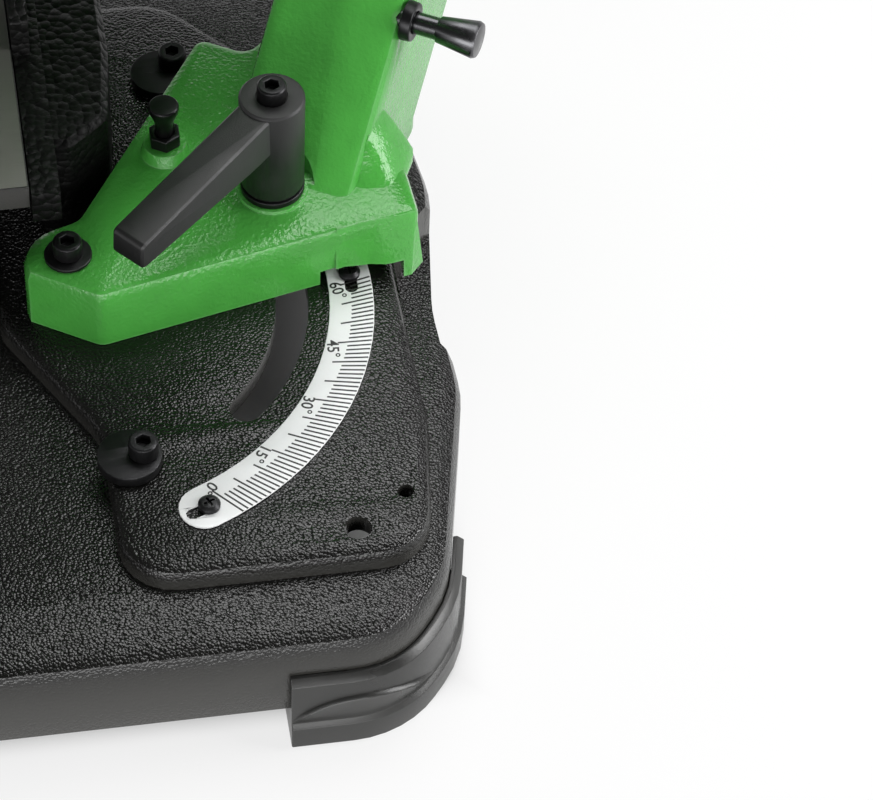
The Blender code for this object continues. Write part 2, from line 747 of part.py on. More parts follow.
def swivel_arm():
    plate = slab([ARM_OUTLINE], ARM_BOTTOM - 0.012, ARM_TOP, ARM_EDGE)
    boss = cylinder(0.0165, (*CLAMP_AT, ARM_TOP - 0.004), (*CLAMP_AT, ARM_TOP + BOSS_RISE), 28, 0.0155)
    stop_boss = cylinder(0.012, (*STOP_AT, ARM_TOP - 0.004), (*STOP_AT, ARM_TOP + STOP_BOSS_RISE), 24, 0.0095)
    pad = loft(PAD_LOW, PAD_HIGH, ARM_BOTTOM - 0.004, ARM_TOP - 0.001)
    web = [(POST_RIGHT + 0.001, 0.100), (POST_RIGHT - 0.014, 0.100), (POST_RIGHT + 0.001, ARM_TOP + 0.016)]
    gusset = along_x(slab([web], 0.099, 0.117))
    body = join(plate, post(), boss, stop_boss, pad, gusset)
    tunnel = turned([(0.1105, 0.06), (0.148, 0.06), (0.148, 0.0835), (0.1105, 0.0835)], 60, ring=True)
    cuts = [
        block((-0.2, -0.3, 0.0), (0.4, 0.2, ARM_BOTTOM)),
        tunnel,
        cylinder(M8 + FIT, (0, 0, 0.05), (0, 0, 0.15), 16),
        cylinder(M8 + FIT, (*CLAMP_AT, 0.05), (*CLAMP_AT, 0.13), 16),
        cylinder(M8 + FIT, (*STOP_AT, ARM_TOP - 0.018), (*STOP_AT, 0.13), 16),
        cylinder(HUB_RELIEF, (*CLAMP_AT, ARM_TOP + BOSS_RISE), (*CLAMP_AT, 0.2), 28),
        cylinder(HINGE_PIN_RADIUS + FIT, (HINGE_U, -0.2, HINGE_Z), (HINGE_U, 0.0, HINGE_Z), 24),
        cylinder(0.0053, (LOCK_AT[0], -0.2, LOCK_AT[1]), (LOCK_AT[0], 0.0, LOCK_AT[1]), 16),
    ]
    piece("swivel_arm", cut(body, *cuts), swivel_axis, GREEN_PAINT)


def arm_fasteners():
    seat = ARM_TOP + FIT
    washer = slab([circle(0.0105, sides=24), circle(M8 + FIT, sides=12)], seat, seat + 0.0018)
    piece("pivot_washer", washer, swivel_axis, BLACK_OXIDE)
    piece("pivot_screw", cap_screw(seat + 0.0018 + FIT, 0.062), swivel_axis, BLACK_OXIDE)
    stop_seat = ARM_TOP + STOP_BOSS_RISE + FIT
    flats = M8_NUT_FLATS / 2 / math.cos(math.pi / 6)
    nut = cylinder(flats, (*STOP_AT, stop_seat), (*STOP_AT, stop_seat + M8_NUT_HEIGHT), 6)
    bore = cylinder(M8 + FIT, (*STOP_AT, stop_seat - 0.01), (*STOP_AT, stop_seat + 0.02), 16)
    piece("stop_nut", cut(nut, bore), swivel_axis, BLACK_OXIDE)
    screw = turned([
        (0, ARM_TOP - 0.016),
        (M8, ARM_TOP - 0.016),
        (M8, STOP_HEAD_TOP - 0.013),
        (0.0046, STOP_HEAD_TOP - 0.009),
        (0.0066, STOP_HEAD_TOP - 0.004),
        (0.0068, STOP_HEAD_TOP - 0.0012),
        (0.0062, STOP_HEAD_TOP - 0.0004),
        (0, STOP_HEAD_TOP),
    ], 20)
    piece("stop_screw", at(screw, *STOP_AT), swivel_axis, BLACK_OXIDE)


LEVER_FLOOR = ARM_TOP + BOSS_RISE + FIT
LEVER_TOP = 0.1665
LEVER_LENGTH = 0.0940
LEVER_HALF = 0.0086
LEVER_RECESS = 0.0012
LEVER_TURN = math.radians(222) - SWIVEL_ANGLE


def clamp():
    """The clamp lever, its washer and screw, and the stud and plate that grip under the slot."""
    washer = slab([circle(0.0142, sides=28), circle(M8 + FIT, sides=12)], LEVER_FLOOR, LEVER_FLOOR + 0.003)
    piece("lever_washer", at(washer, *CLAMP_AT), swivel_axis, BLACK_OXIDE)
    under = PLATEAU_TOP - DECK - FIT
    plate = block((-0.013, -0.013, under - 0.008), (0.013, 0.013, under))
    plate = cut(plate, cylinder(M8 + FIT, (0, 0, 0), (0, 0, 0.1), 16))
    piece("clamp_plate", at(plate, *CLAMP_AT), swivel_axis, STEEL)
    stud = cylinder(M8, (*CLAMP_AT, under - 0.016), (*CLAMP_AT, LEVER_TOP - 0.024), 16)
    head = cylinder(0.0075, (*CLAMP_AT, under - 0.0145), (*CLAMP_AT, under - 0.008 - FIT), 6)
    piece("clamp_stud", join(stud, head), swivel_axis, STEEL)
    foot_z = LEVER_FLOOR + 0.003 + FIT
    hub = turned([
        (0, foot_z),
        (0.0130, foot_z),
        (0.0140, foot_z + 0.002),
        (0.0145, LEVER_TOP - 0.001),
        (0.0136, LEVER_TOP),
        (0, LEVER_TOP),
    ], 28)
    bar = upright(slab([fillet([
        (0.004, LEVER_TOP - 0.022),
        (0.004, LEVER_TOP - 0.0005),
        (LEVER_LENGTH, LEVER_TOP - 0.012, 0.003),
        (LEVER_LENGTH + 0.001, LEVER_TOP - 0.026, 0.003),
        (0.020, LEVER_TOP - 0.024, 0.004),
    ])], -LEVER_HALF, LEVER_HALF, 0.001))
    lever = join(hub, bar)
    seat = LEVER_TOP - LEVER_RECESS
    bore = turned([
        (0, foot_z - 0.02),
        (M8 + FIT, foot_z - 0.02),
        (M8 + FIT, seat),
        (M8_HEAD_RADIUS + RUNNING, seat),
        (M8_HEAD_RADIUS + RUNNING, LEVER_TOP + 0.01),
        (0, LEVER_TOP + 0.01),
    ], 20)
    lever = moved(cut(lever, bore), Matrix.Rotation(LEVER_TURN, 4, "Z"))
    piece("clamp_lever", lever, lever_axis, PLASTIC)
    piece("lever_screw", cap_screw(seat + FIT, 0.014), lever_axis, BLACK_OXIDE)


def lock_pin():
    """The bow's lock pin and its bush, drawn along Z and laid along -Y."""
    lay = Matrix.Translation((0, POST_RIGHT, 0)) @ Matrix.Rotation(math.pi / 2, 4, "X")
    bush = turned([(0.0053, FIT), (0.0092, FIT), (0.0088, 0.0055), (0.0053, 0.0055)], 24, ring=True)
    piece("lock_pin_bush", moved(bush, lay), lock_axis, BLACK_OXIDE)
    inside = POST_RIGHT - POST_LEFT + 0.003
    pin = turned([
        (0, inside),
        (0.005, inside),
        (0.005, 0.016),
        (0.006, 0.0165),
        (0.0085, 0.0335),
        (0.0078, 0.0352),
        (0, 0.0356),
    ], 24)
    piece("lock_pin", moved(pin, lay), lock_axis, STEEL)


def hinge():
    pin = join(
        cylinder(HINGE_PIN_RADIUS, (0, -0.132, 0), (0, BARREL_END + 0.002, 0), 24),
        cylinder(0.015, (0, BARREL_END + FIT, 0), (0, BARREL_END + 0.005, 0), 24),
    )
    piece("hinge_pin", at(pin, HINGE_U, 0, HINGE_Z), swivel_axis, STEEL)
    turns, points_per_turn = 4, 10
    wire, mean, pitch = 0.0015, 0.0145, 0.0044
    count = turns * points_per_turn
    points = []
    for step in range(count + 1):
        angle = 2 * math.pi * step / points_per_turn
        along = POST_RIGHT - wire - FIT - pitch * step / points_per_turn
        points.append((HINGE_U + mean * math.cos(angle), along, HINGE_Z + mean * math.sin(angle)))
    tail = (HINGE_U + mean, points[-1][1], HINGE_Z - 0.034)
    head = (HINGE_U + mean, points[0][1], HINGE_Z - 0.034)
    spring = rod([head, *points, tail], wire, 1)
    gap = min(
        (Vector(a) - Vector(b)).length - 2 * wire
        for index, a in enumerate(points)
        for b in points[index + points_per_turn // 2:]
    )
    print(f"return_spring least gap {gap * 1000:.2f} mm")
    piece("return_spring", spring, swivel_axis, STEEL)


# Bow: frame, cover, wheels and blade, in the plane of the wheels

IDLER_U = DRIVE_U - WHEEL_CENTRES
BARREL_START = POST_LEFT + 0.0015
BARREL_END = 0.134
COVER_BACK = BOW_FACE + FIT
WHEELS_TO_ARM = Matrix.Translation((0, BLADE_OFFSET, WHEEL_Z)) @ Matrix.Rotation(WHEEL_TILT, 4, "X")
ARM_TO_WHEELS = WHEELS_TO_ARM.inverted()


def in_wheel_plane(solid):
    """Takes a solid drawn in the arm's frame, with the bow lowered, into the plane of the wheels."""
    return moved(solid, ARM_TO_WHEELS)


def bow_shell(low, high, inset=0.0, edge=0.0):
    """The bow's outline as a solid: a lobe round each wheel, joined by a beam past the upper strand."""
    radius = BOW_RADIUS - inset
    lift = math.asin((BEAM_LOW + inset) / radius)
    idler = arc(radius, math.pi / 2, 2 * math.pi + lift, (IDLER_U, 0), BOW_STEP)
    drive = arc(radius, math.pi - lift, 5 * math.pi / 2, (DRIVE_U, 0), BOW_STEP)
    return slab([idler + drive], low, high, edge)


def bow_frame():
    body = bow_shell(BOW_BACK, BOW_FACE)
    ear = slab([fillet([
        (0.185, -0.020),
        (0.268, 0.020, 0.010),
        (0.307, 0.040, 0.012),
        (0.307, 0.078, 0.016),
        (0.180, 0.0885, 0.010),
    ])], BOW_BACK, BOW_BACK + 0.013)
    barrel = in_wheel_plane(
        cylinder(HINGE_BOSS, (HINGE_U, BARREL_START, HINGE_Z), (HINGE_U, BARREL_END, HINGE_Z), 28)
    )
    hollow = bow_shell(BOW_BACK + 0.006, BOW_FACE + 0.02, BOW_WALL)
    near = LOCK_AT[0] - LOCK_HALF
    far = LOCK_AT[0] + LOCK_HALF
    shelf = in_wheel_plane(block((near, -0.0285, 0.1435), (far, -0.0085, 0.1505)))
    lock_lug = in_wheel_plane(block((near, BARREL_START, 0.1435), (far, -0.0268, 0.174)))
    edge = IDLER_U - BOW_RADIUS
    screw_lug = block((edge + 0.001, -0.014, -0.052), (edge + 0.013, 0.014, BOW_BACK + 0.004))
    body = join(cut(body, hollow), ear, barrel, shelf, lock_lug, screw_lug)
    window = block((IDLER_U + 0.020, -0.088, -0.011), (DRIVE_U - 0.020, -0.064, 0.011))
    pin_bore = in_wheel_plane(
        cylinder(HINGE_PIN_RADIUS + FIT, (HINGE_U, -0.1, HINGE_Z), (HINGE_U, 0.2, HINGE_Z), 24)
    )
    lock_bore = in_wheel_plane(
        cylinder(0.0055, (LOCK_AT[0], -0.06, LOCK_AT[1]), (LOCK_AT[0], -0.02, LOCK_AT[1]), 16)
    )
    shaft_bore = cylinder(0.016, (DRIVE_U, 0, -0.05), (DRIVE_U, 0, 0.0), 24)
    half = SHAFT_RADIUS + RUNNING
    slot = block((IDLER_U - half, -half, -0.05), (IDLER_U + half + TENSION_TRAVEL + FIT, half, 0.0))
    screw_bore = cylinder(M8 + FIT, (IDLER_U - 0.15, 0, -0.036), (IDLER_U - 0.06, 0, -0.036), 16)
    cuts = [window, pin_bore, lock_bore, shaft_bore, slot, screw_bore]
    piece("bow_frame", cut(body, *cuts), wheel_plane, GREEN_PAINT)


def wheel_cover():
    plate = bow_shell(COVER_BACK, COVER_BACK + COVER_THICK)
    raised = bow_shell(COVER_BACK + 0.001, COVER_BACK + COVER_THICK + 0.003, 0.012, 0.002)
    piece("wheel_cover", join(plate, raised), wheel_plane, GREEN_PAINT)


def saw_wheel():
    rim = WHEEL_RADIUS
    bore = SHAFT_RADIUS + FIT
    wheel = turned([
        (rim, -0.003),
        (rim, 0.0070),
        (rim + 0.003, 0.0072),
        (rim + 0.003, 0.0095),
        (rim - 0.009, 0.0095),
        (rim - 0.009, 0.004),
        (0.018, 0.004),
        (0.017, 0.0095),
        (bore, 0.0095),
        (bore, -0.012),
        (0.017, -0.012),
        (0.018, -0.001),
        (rim - 0.009, -0.001),
        (rim - 0.009, -0.003),
    ], 32, ring=True)
    holes = []
    for turn in range(5):
        angle = 2 * math.pi * turn / 5
        x = 0.043 * math.cos(angle)
        y = 0.043 * math.sin(angle)
        holes.append(cylinder(0.013, (x, y, -0.02), (x, y, 0.02), 12))
    return cut(wheel, *holes)


def wheels():
    piece("drive_wheel", saw_wheel(), drive_axis, STEEL)
    shaft = join(
        cylinder(SHAFT_RADIUS, (0, 0, -0.060), (0, 0, 0.012), 24),
        cylinder(0.012, (0, 0, 0.0095 + FIT), (0, 0, 0.0145), 6),
    )
    piece("drive_shaft", shaft, drive_axis, STEEL)
    piece("idler_wheel", saw_wheel(), idler_axis, STEEL)
    axle = join(
        cylinder(SHAFT_RADIUS, (0, 0, -0.044), (0, 0, 0.012), 24),
        cylinder(0.012, (0, 0, 0.0095 + FIT), (0, 0, 0.0145), 24),
    )
    piece("idler_axle", axle, tension_axis, STEEL)


def smooth(value):
    value = min(1.0, max(0.0, value))
    return value * value * (3 - 2 * value)


def blade_station(along):
    """The middle of the blade, its outward direction and its twist at a length along the loop."""
    radius = WHEEL_RADIUS + FIT + BLADE_THICK / 2
    half_turn = math.pi * radius
    if along < WHEEL_CENTRES:
        u = IDLER_U + along
        left = smooth((u - IDLER_U) / (LEFT_GUIDE_U - IDLER_U))
        right = smooth((DRIVE_U - u) / (DRIVE_U - RIGHT_GUIDE_U))
        return Vector((u, -radius, 0)), Vector((0, -1, 0)), WHEEL_TILT * left * right
    along -= WHEEL_CENTRES
    if along < half_turn:
        turn = -math.pi / 2 + along / radius
        out = Vector((math.cos(turn), math.sin(turn), 0))
        return Vector((DRIVE_U, 0, 0)) + out * radius, out, 0.0
    along -= half_turn
    if along < WHEEL_CENTRES:
        return Vector((DRIVE_U - along, radius, 0)), Vector((0, 1, 0)), 0.0
    turn = math.pi / 2 + (along - WHEEL_CENTRES) / radius
    out = Vector((math.cos(turn), math.sin(turn), 0))
    return Vector((IDLER_U, 0, 0)) + out * radius, out, 0.0


def blade():
    """The toothed blade as one closed ribbon. Between the guides it is twisted upright, teeth down."""
    length = 2 * WHEEL_CENTRES + 2 * math.pi * (WHEEL_RADIUS + FIT + BLADE_THICK / 2)
    teeth = round(length / BLADE_PITCH)
    pitch = length / teeth
    work = bmesh.new()
    rings = []
    for tooth in range(teeth):
        for share, depth in ((0.0, 0.0), (0.72, TOOTH_DEPTH)):
            middle, out, twist = blade_station((tooth + share) * pitch)
            turn = Matrix.Rotation(-twist, 3, "X")
            across = turn @ Vector((0, 0, 1))
            out = turn @ out if twist else out
            back = middle + across * BLADE_WIDTH / 2
            edge = middle - across * (BLADE_WIDTH / 2 - depth)
            half = out * BLADE_THICK / 2
            places = (back + half, edge + half, edge - half, back - half)
            rings.append([work.verts.new(place) for place in places])
    for ring, after in zip(rings, rings[1:] + rings[:1]):
        for corner in range(4):
            following = (corner + 1) % 4
            work.faces.new((ring[corner], ring[following], after[following], after[corner]))
    piece("blade", from_bmesh(work), wheel_plane, STEEL)


# Bow: guides

ROLLER_OFFSET = BLADE_THICK / 2 + FIT + ROLLER_RADIUS
ROLLER_LOW = BLADE_CENTRE_Z - 0.003
ROLLER_HIGH = BLADE_CENTRE_Z + 0.012
GUIDE_FLOOR = ROLLER_HIGH + 0.001
GUIDE_TOP = GUIDE_FLOOR + 0.016
RAIL_LOW = BEAM_LOW - 0.010
GUIDE_HALF = 0.015
STRUT_LOW = -0.052


def guide_head():
    """The block over the blade with its two roller pins, about its own place along the blade."""
    body = in_wheel_plane(block((-GUIDE_HALF, -0.020, GUIDE_FLOOR), (GUIDE_HALF, 0.020, GUIDE_TOP)))
    pins = []
    for side in (-1, 1):
        place = side * ROLLER_OFFSET
        pin = cylinder(0.003, (0, place, ROLLER_LOW - 0.001), (0, place, GUIDE_FLOOR + 0.004), 12)
        pins.append(in_wheel_plane(pin))
    return join(body, *pins)


def roller(name, parent, side):
    ring = slab([circle(ROLLER_RADIUS, (0, 0), 16), circle(0.003 + FIT, (0, 0), 10)], ROLLER_LOW, ROLLER_HIGH)
    piece(name, in_wheel_plane(at(ring, 0, side * ROLLER_OFFSET)), parent, STEEL)


def guides():
    strut = block((-0.012, STRUT_LOW, -0.006), (0.012, BEAM_LOW - FIT, 0.012))
    riser = in_wheel_plane(block((0.010, -0.028, STOP_HEAD_TOP + FIT), (0.0149, -0.015, GUIDE_TOP)))
    pad = in_wheel_plane(block((0.010, -0.028, STOP_HEAD_TOP + FIT), (0.048, -0.004, STOP_HEAD_TOP + 0.0095)))
    bracket = join(guide_head(), strut, riser, pad)
    piece("right_guide_bracket", bracket, right_guide, GREEN_PAINT)
    rail = block((LEFT_GUIDE_U - 0.020, RAIL_LOW, -0.014), (RIGHT_GUIDE_U - 0.016, BEAM_LOW - FIT, 0.010))
    piece("guide_rail", rail, wheel_plane, STEEL)
    strut = block((-0.012, STRUT_LOW, -0.006), (0.012, RAIL_LOW - FIT, 0.012))
    lip = block((-0.012, RAIL_LOW - 0.016, 0.010 + FIT), (0.012, BEAM_LOW - 0.002, 0.0165))
    arm = join(guide_head(), strut, lip)
    hole = cylinder(0.003 + FIT, (0, RAIL_LOW - 0.008, 0.0), (0, RAIL_LOW - 0.008, 0.03), 12)
    piece("left_guide_arm", cut(arm, hole), guide_slide, GREEN_PAINT)
    knob = turned([
        (0, -0.008),
        (0.003, -0.008),
        (0.003, 0.0165 + FIT),
        (0.0095, 0.0165 + FIT),
        (0.0100, 0.024),
        (0.0085, 0.0290),
        (0, 0.0300),
    ], 20)
    cut_knob = cut(knob, cylinder(0.004, (0, 0, -0.02), (0, 0, 0.004), 12))
    piece("guide_knob", cut_knob, knob_axis, PLASTIC)
    guard = block((-0.028, -0.0223, ROLLER_LOW), (0.040, -0.020 - FIT, GUIDE_TOP))
    piece("blade_guard", in_wheel_plane(guard), guide_slide, STEEL)
    for name, parent in (("right", right_guide), ("left", guide_slide)):
        roller(name + "_front_roller", parent, -1)
        roller(name + "_rear_roller", parent, 1)


# Bow: drive, tension and handle

GEARBOX_DEEP = -0.076
MOTOR_U = 0.195
MOTOR_N = -0.0635
MOTOR_RADIUS = 0.037
MOTOR_START = 0.075
CASE_LOW = -0.020


def drive():
    case = slab([fillet([
        (0.138, CASE_LOW, 0.018),
        (0.184, CASE_LOW, 0.020),
        (0.236, 0.030, 0.030),
        (0.242, MOTOR_START, 0.012),
        (0.124, MOTOR_START, 0.024),
        (0.108, 0.024, 0.030),
    ])], GEARBOX_DEEP, BOW_BACK - FIT, 0.004)
    bore = cylinder(SHAFT_RADIUS + FIT, (DRIVE_U, 0, -0.064), (DRIVE_U, 0, 0.0), 24)
    piece("gearbox", cut(case, bore), wheel_plane, GREEN_PAINT)
    stand = Matrix.Translation((MOTOR_U, MOTOR_START, MOTOR_N)) @ Matrix.Rotation(-math.pi / 2, 4, "X")
    motor = turned([
        (0, FIT),
        (MOTOR_RADIUS - 0.003, FIT),
        (MOTOR_RADIUS - 0.003, 0.012),
        (MOTOR_RADIUS, 0.015),
        (MOTOR_RADIUS, 0.104),
        (MOTOR_RADIUS - 0.002, 0.110),
        (0, 0.110),
    ], 24)
    piece("motor_housing", moved(motor, stand), wheel_plane, PLASTIC)
    cap = turned([
        (0, 0.110 + FIT),
        (MOTOR_RADIUS - 0.002, 0.110 + FIT),
        (MOTOR_RADIUS - 0.003, 0.122),
        (MOTOR_RADIUS - 0.012, 0.130),
        (0, 0.131),
    ], 24)
    piece("motor_end_cap", moved(cap, stand), wheel_plane, PLASTIC)
    gland = turned([(0, FIT), (0.011, FIT), (0.011, 0.008), (0.008, 0.009), (0.007, 0.020), (0, 0.020)], 16)
    lay = Matrix.Translation((DRIVE_U, CASE_LOW, -0.050)) @ Matrix.Rotation(math.pi / 2, 4, "X")
    piece("cable_gland", moved(gland, lay), wheel_plane, PLASTIC)


def tension():
    body = block((-0.030, -0.022, -0.046), (0.028, 0.022, BOW_BACK - FIT), 0.002)
    bore = cylinder(SHAFT_RADIUS + FIT, (0, 0, -0.1), (0, 0, 0.0), 24)
    thread = cylinder(M8 + FIT, (-0.05, 0, -0.036), (-0.012, 0, -0.036), 16)
    piece("tension_slide", cut(body, bore, thread), tension_axis, STEEL)
    lay = Matrix.Rotation(-math.pi / 2, 4, "Y")
    knob = turned([
        (0, -0.070),
        (M8, -0.070),
        (M8, FIT),
        (0.011, FIT),
        (0.012, 0.004),
        (0.0155, 0.006),
        (0.0155, 0.020),
        (0.0140, 0.023),
        (0, 0.024),
    ], 24)
    piece("tension_knob", moved(knob, lay), tension_knob_axis, PLASTIC)


HANDLE_LEFT = IDLER_U - BOW_RADIUS - 0.094
GRIP_WIDTH = 0.022


def handle():
    outer = fillet([
        (HANDLE_LEFT, -0.052, 0.022),
        (IDLER_U - 0.070, -0.052),
        (IDLER_U - 0.066, 0.060),
        (HANDLE_LEFT, 0.060, 0.022),
    ])
    inner = fillet([
        (HANDLE_LEFT + GRIP_WIDTH, -0.033, 0.010),
        (IDLER_U - BOW_RADIUS - 0.030, -0.033, 0.010),
        (IDLER_U - BOW_RADIUS - 0.030, 0.041, 0.010),
        (HANDLE_LEFT + GRIP_WIDTH, 0.041, 0.010),
    ])
    body = slab([outer, inner], -0.014, 0.014, 0.004)
    seat = cylinder(BOW_RADIUS + FIT, (IDLER_U, 0, -0.05), (IDLER_U, 0, 0.05), 60)
    pocket = block((HANDLE_LEFT + 0.009, 0.0033, -0.0066), (HANDLE_LEFT + GRIP_WIDTH + 0.01, 0.0367, 0.0066))
    piece("handle", cut(body, seat, pocket), wheel_plane, PLASTIC)
    trigger = block((0.0145, 0.004, -0.006), (GRIP_WIDTH + 0.010, 0.036, 0.006), 0.002)
    piece("trigger", trigger, trigger_axis, PLASTIC)
    dial = turned([(0, FIT), (0.011, FIT), (0.0105, 0.006), (0.009, 0.0075), (0, 0.0075)], 24)
    piece("speed_dial", dial, dial_axis, PLASTIC)


# Axes of the moving pieces

JAW_FACE_X = TABLE_RIGHT + FIT - JAW_GAP
jaw_axis = axis("jaw_axis", machine, (JAW_FACE_X, 0, 0))
screw_axis = axis("screw_axis", machine, (JAW_FACE_X, SCREW_Y, SCREW_Z))
lever_axis = axis("lever_axis", swivel_axis, (*CLAMP_AT, 0))
lock_axis = axis("lock_axis", swivel_axis, (LOCK_AT[0], 0, LOCK_AT[1]))
drive_axis = axis("drive_axis", wheel_plane, (DRIVE_U, 0, 0))
tension_axis = axis("tension_axis", wheel_plane, (IDLER_U, 0, 0))
idler_axis = axis("idler_axis", wheel_plane, (IDLER_U, 0, 0))
tension_knob_axis = axis("tension_knob_axis", wheel_plane, (IDLER_U - BOW_RADIUS + 0.001, 0, -0.036))
right_guide = axis("right_guide", wheel_plane, (RIGHT_GUIDE_U, 0, 0))
guide_slide = axis("guide_slide", wheel_plane, (LEFT_GUIDE_U, 0, 0))
knob_axis = axis("knob_axis", wheel_plane, (LEFT_GUIDE_U, RAIL_LOW - 0.008, 0))
trigger_axis = axis("trigger_axis", wheel_plane, (HANDLE_LEFT, 0, 0))
dial_axis = axis("dial_axis", wheel_plane, (IDLER_U - BOW_RADIUS - 0.014, 0.018, 0.014))


def place_origin():
    """Puts the origin under the middle of the whole machine, on the floor."""
    bpy.context.view_layer.update()
    corners = []
    for obj in parts.objects:
        if obj.type == "MESH":
            corners += [obj.matrix_world @ vertex.co for vertex in obj.data.vertices]
    low = [min(corner[side] for corner in corners) for side in range(3)]
    high = [max(corner[side] for corner in corners) for side in range(3)]
    machine.location = (-(low[0] + high[0]) / 2, -(low[1] + high[1]) / 2, -low[2])


base_casting()
foot("foot_front_right", 1, -1)
foot("foot_front_left", -1, -1)
foot("foot_rear_right", 1, 1)
foot("foot_rear_left", -1, 1)
degree_scale()
scale_screw("scale_screw_zero", *SCALE_SCREWS[0])
scale_screw("scale_screw_sixty", *SCALE_SCREWS[1])
eccentric_stop("front", *STOP_PLACES[0])
eccentric_stop("rear", *STOP_PLACES[1])
vise_table()
fixed_jaw()
vise_nut_block()
movable_jaw()
vise_screw()
swivel_arm()
arm_fasteners()
clamp()
lock_pin()
hinge()
bow_frame()
wheel_cover()
wheels()
blade()
guides()
drive()
tension()
handle()
place_origin()
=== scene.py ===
"""Looks of the swivel-head metal band saw: finishes, printed marks, small fittings, light and camera.

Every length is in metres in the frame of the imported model: the floor is z = 0, +Z is up, +X runs along
the blade at 0 degrees and +Y along the workpiece. Sub-assemblies take their places from the joints.
"""

from __future__ import annotations

import json
import logging
import math
from dataclasses import dataclass
from enum import Enum

import bmesh
import bpy
from mathutils import Matrix, Vector
from mathutils.bvhtree import BVHTree

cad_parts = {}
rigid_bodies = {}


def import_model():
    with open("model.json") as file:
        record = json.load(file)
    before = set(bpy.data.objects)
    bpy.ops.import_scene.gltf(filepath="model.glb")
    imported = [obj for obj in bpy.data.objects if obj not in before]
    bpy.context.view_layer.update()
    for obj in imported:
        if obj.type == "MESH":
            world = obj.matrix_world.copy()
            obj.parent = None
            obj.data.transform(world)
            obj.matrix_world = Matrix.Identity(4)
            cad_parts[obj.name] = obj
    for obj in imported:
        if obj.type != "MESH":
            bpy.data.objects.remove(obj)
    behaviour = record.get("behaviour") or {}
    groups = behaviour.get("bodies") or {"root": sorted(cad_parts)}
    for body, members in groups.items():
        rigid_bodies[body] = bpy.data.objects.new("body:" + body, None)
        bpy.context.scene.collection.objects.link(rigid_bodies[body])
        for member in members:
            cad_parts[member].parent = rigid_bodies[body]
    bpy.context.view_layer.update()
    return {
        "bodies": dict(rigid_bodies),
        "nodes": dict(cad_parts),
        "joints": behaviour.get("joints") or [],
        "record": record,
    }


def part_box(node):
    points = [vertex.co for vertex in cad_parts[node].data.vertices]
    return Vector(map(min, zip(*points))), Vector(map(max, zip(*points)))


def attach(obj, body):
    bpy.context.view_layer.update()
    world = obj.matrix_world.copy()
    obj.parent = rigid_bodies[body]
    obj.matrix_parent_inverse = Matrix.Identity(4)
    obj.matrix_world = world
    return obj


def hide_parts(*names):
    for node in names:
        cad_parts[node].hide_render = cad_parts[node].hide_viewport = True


LOG = logging.getLogger("band_saw")
Colour = tuple[float, float, float]
Socket = bpy.types.NodeSocket
Profile = list[tuple[float, float]]


def shown(name: str, data: bpy.types.ID) -> bpy.types.Object:
    """Makes an object from its data and puts it in the scene.

    Args:
        name: its name.
        data: the object's data.

    Returns:
        The object.
    """
    obj = bpy.data.objects.new(name, data)
    bpy.context.scene.collection.objects.link(obj)
    return obj


def finished(name: str, work: bmesh.types.BMesh) -> bpy.types.Mesh:
    """Turns a mesh at work into a finished one, and frees the first.

    Args:
        name: its name.
        work: the mesh at work.

    Returns:
        The finished mesh.
    """
    mesh = bpy.data.meshes.new(name)
    work.to_mesh(mesh)
    work.free()
    return mesh


def circle(count: int) -> list[float]:
    """Angles at even steps round a full turn."""
    return [2 * math.pi * index / count for index in range(count)]


# Node trees

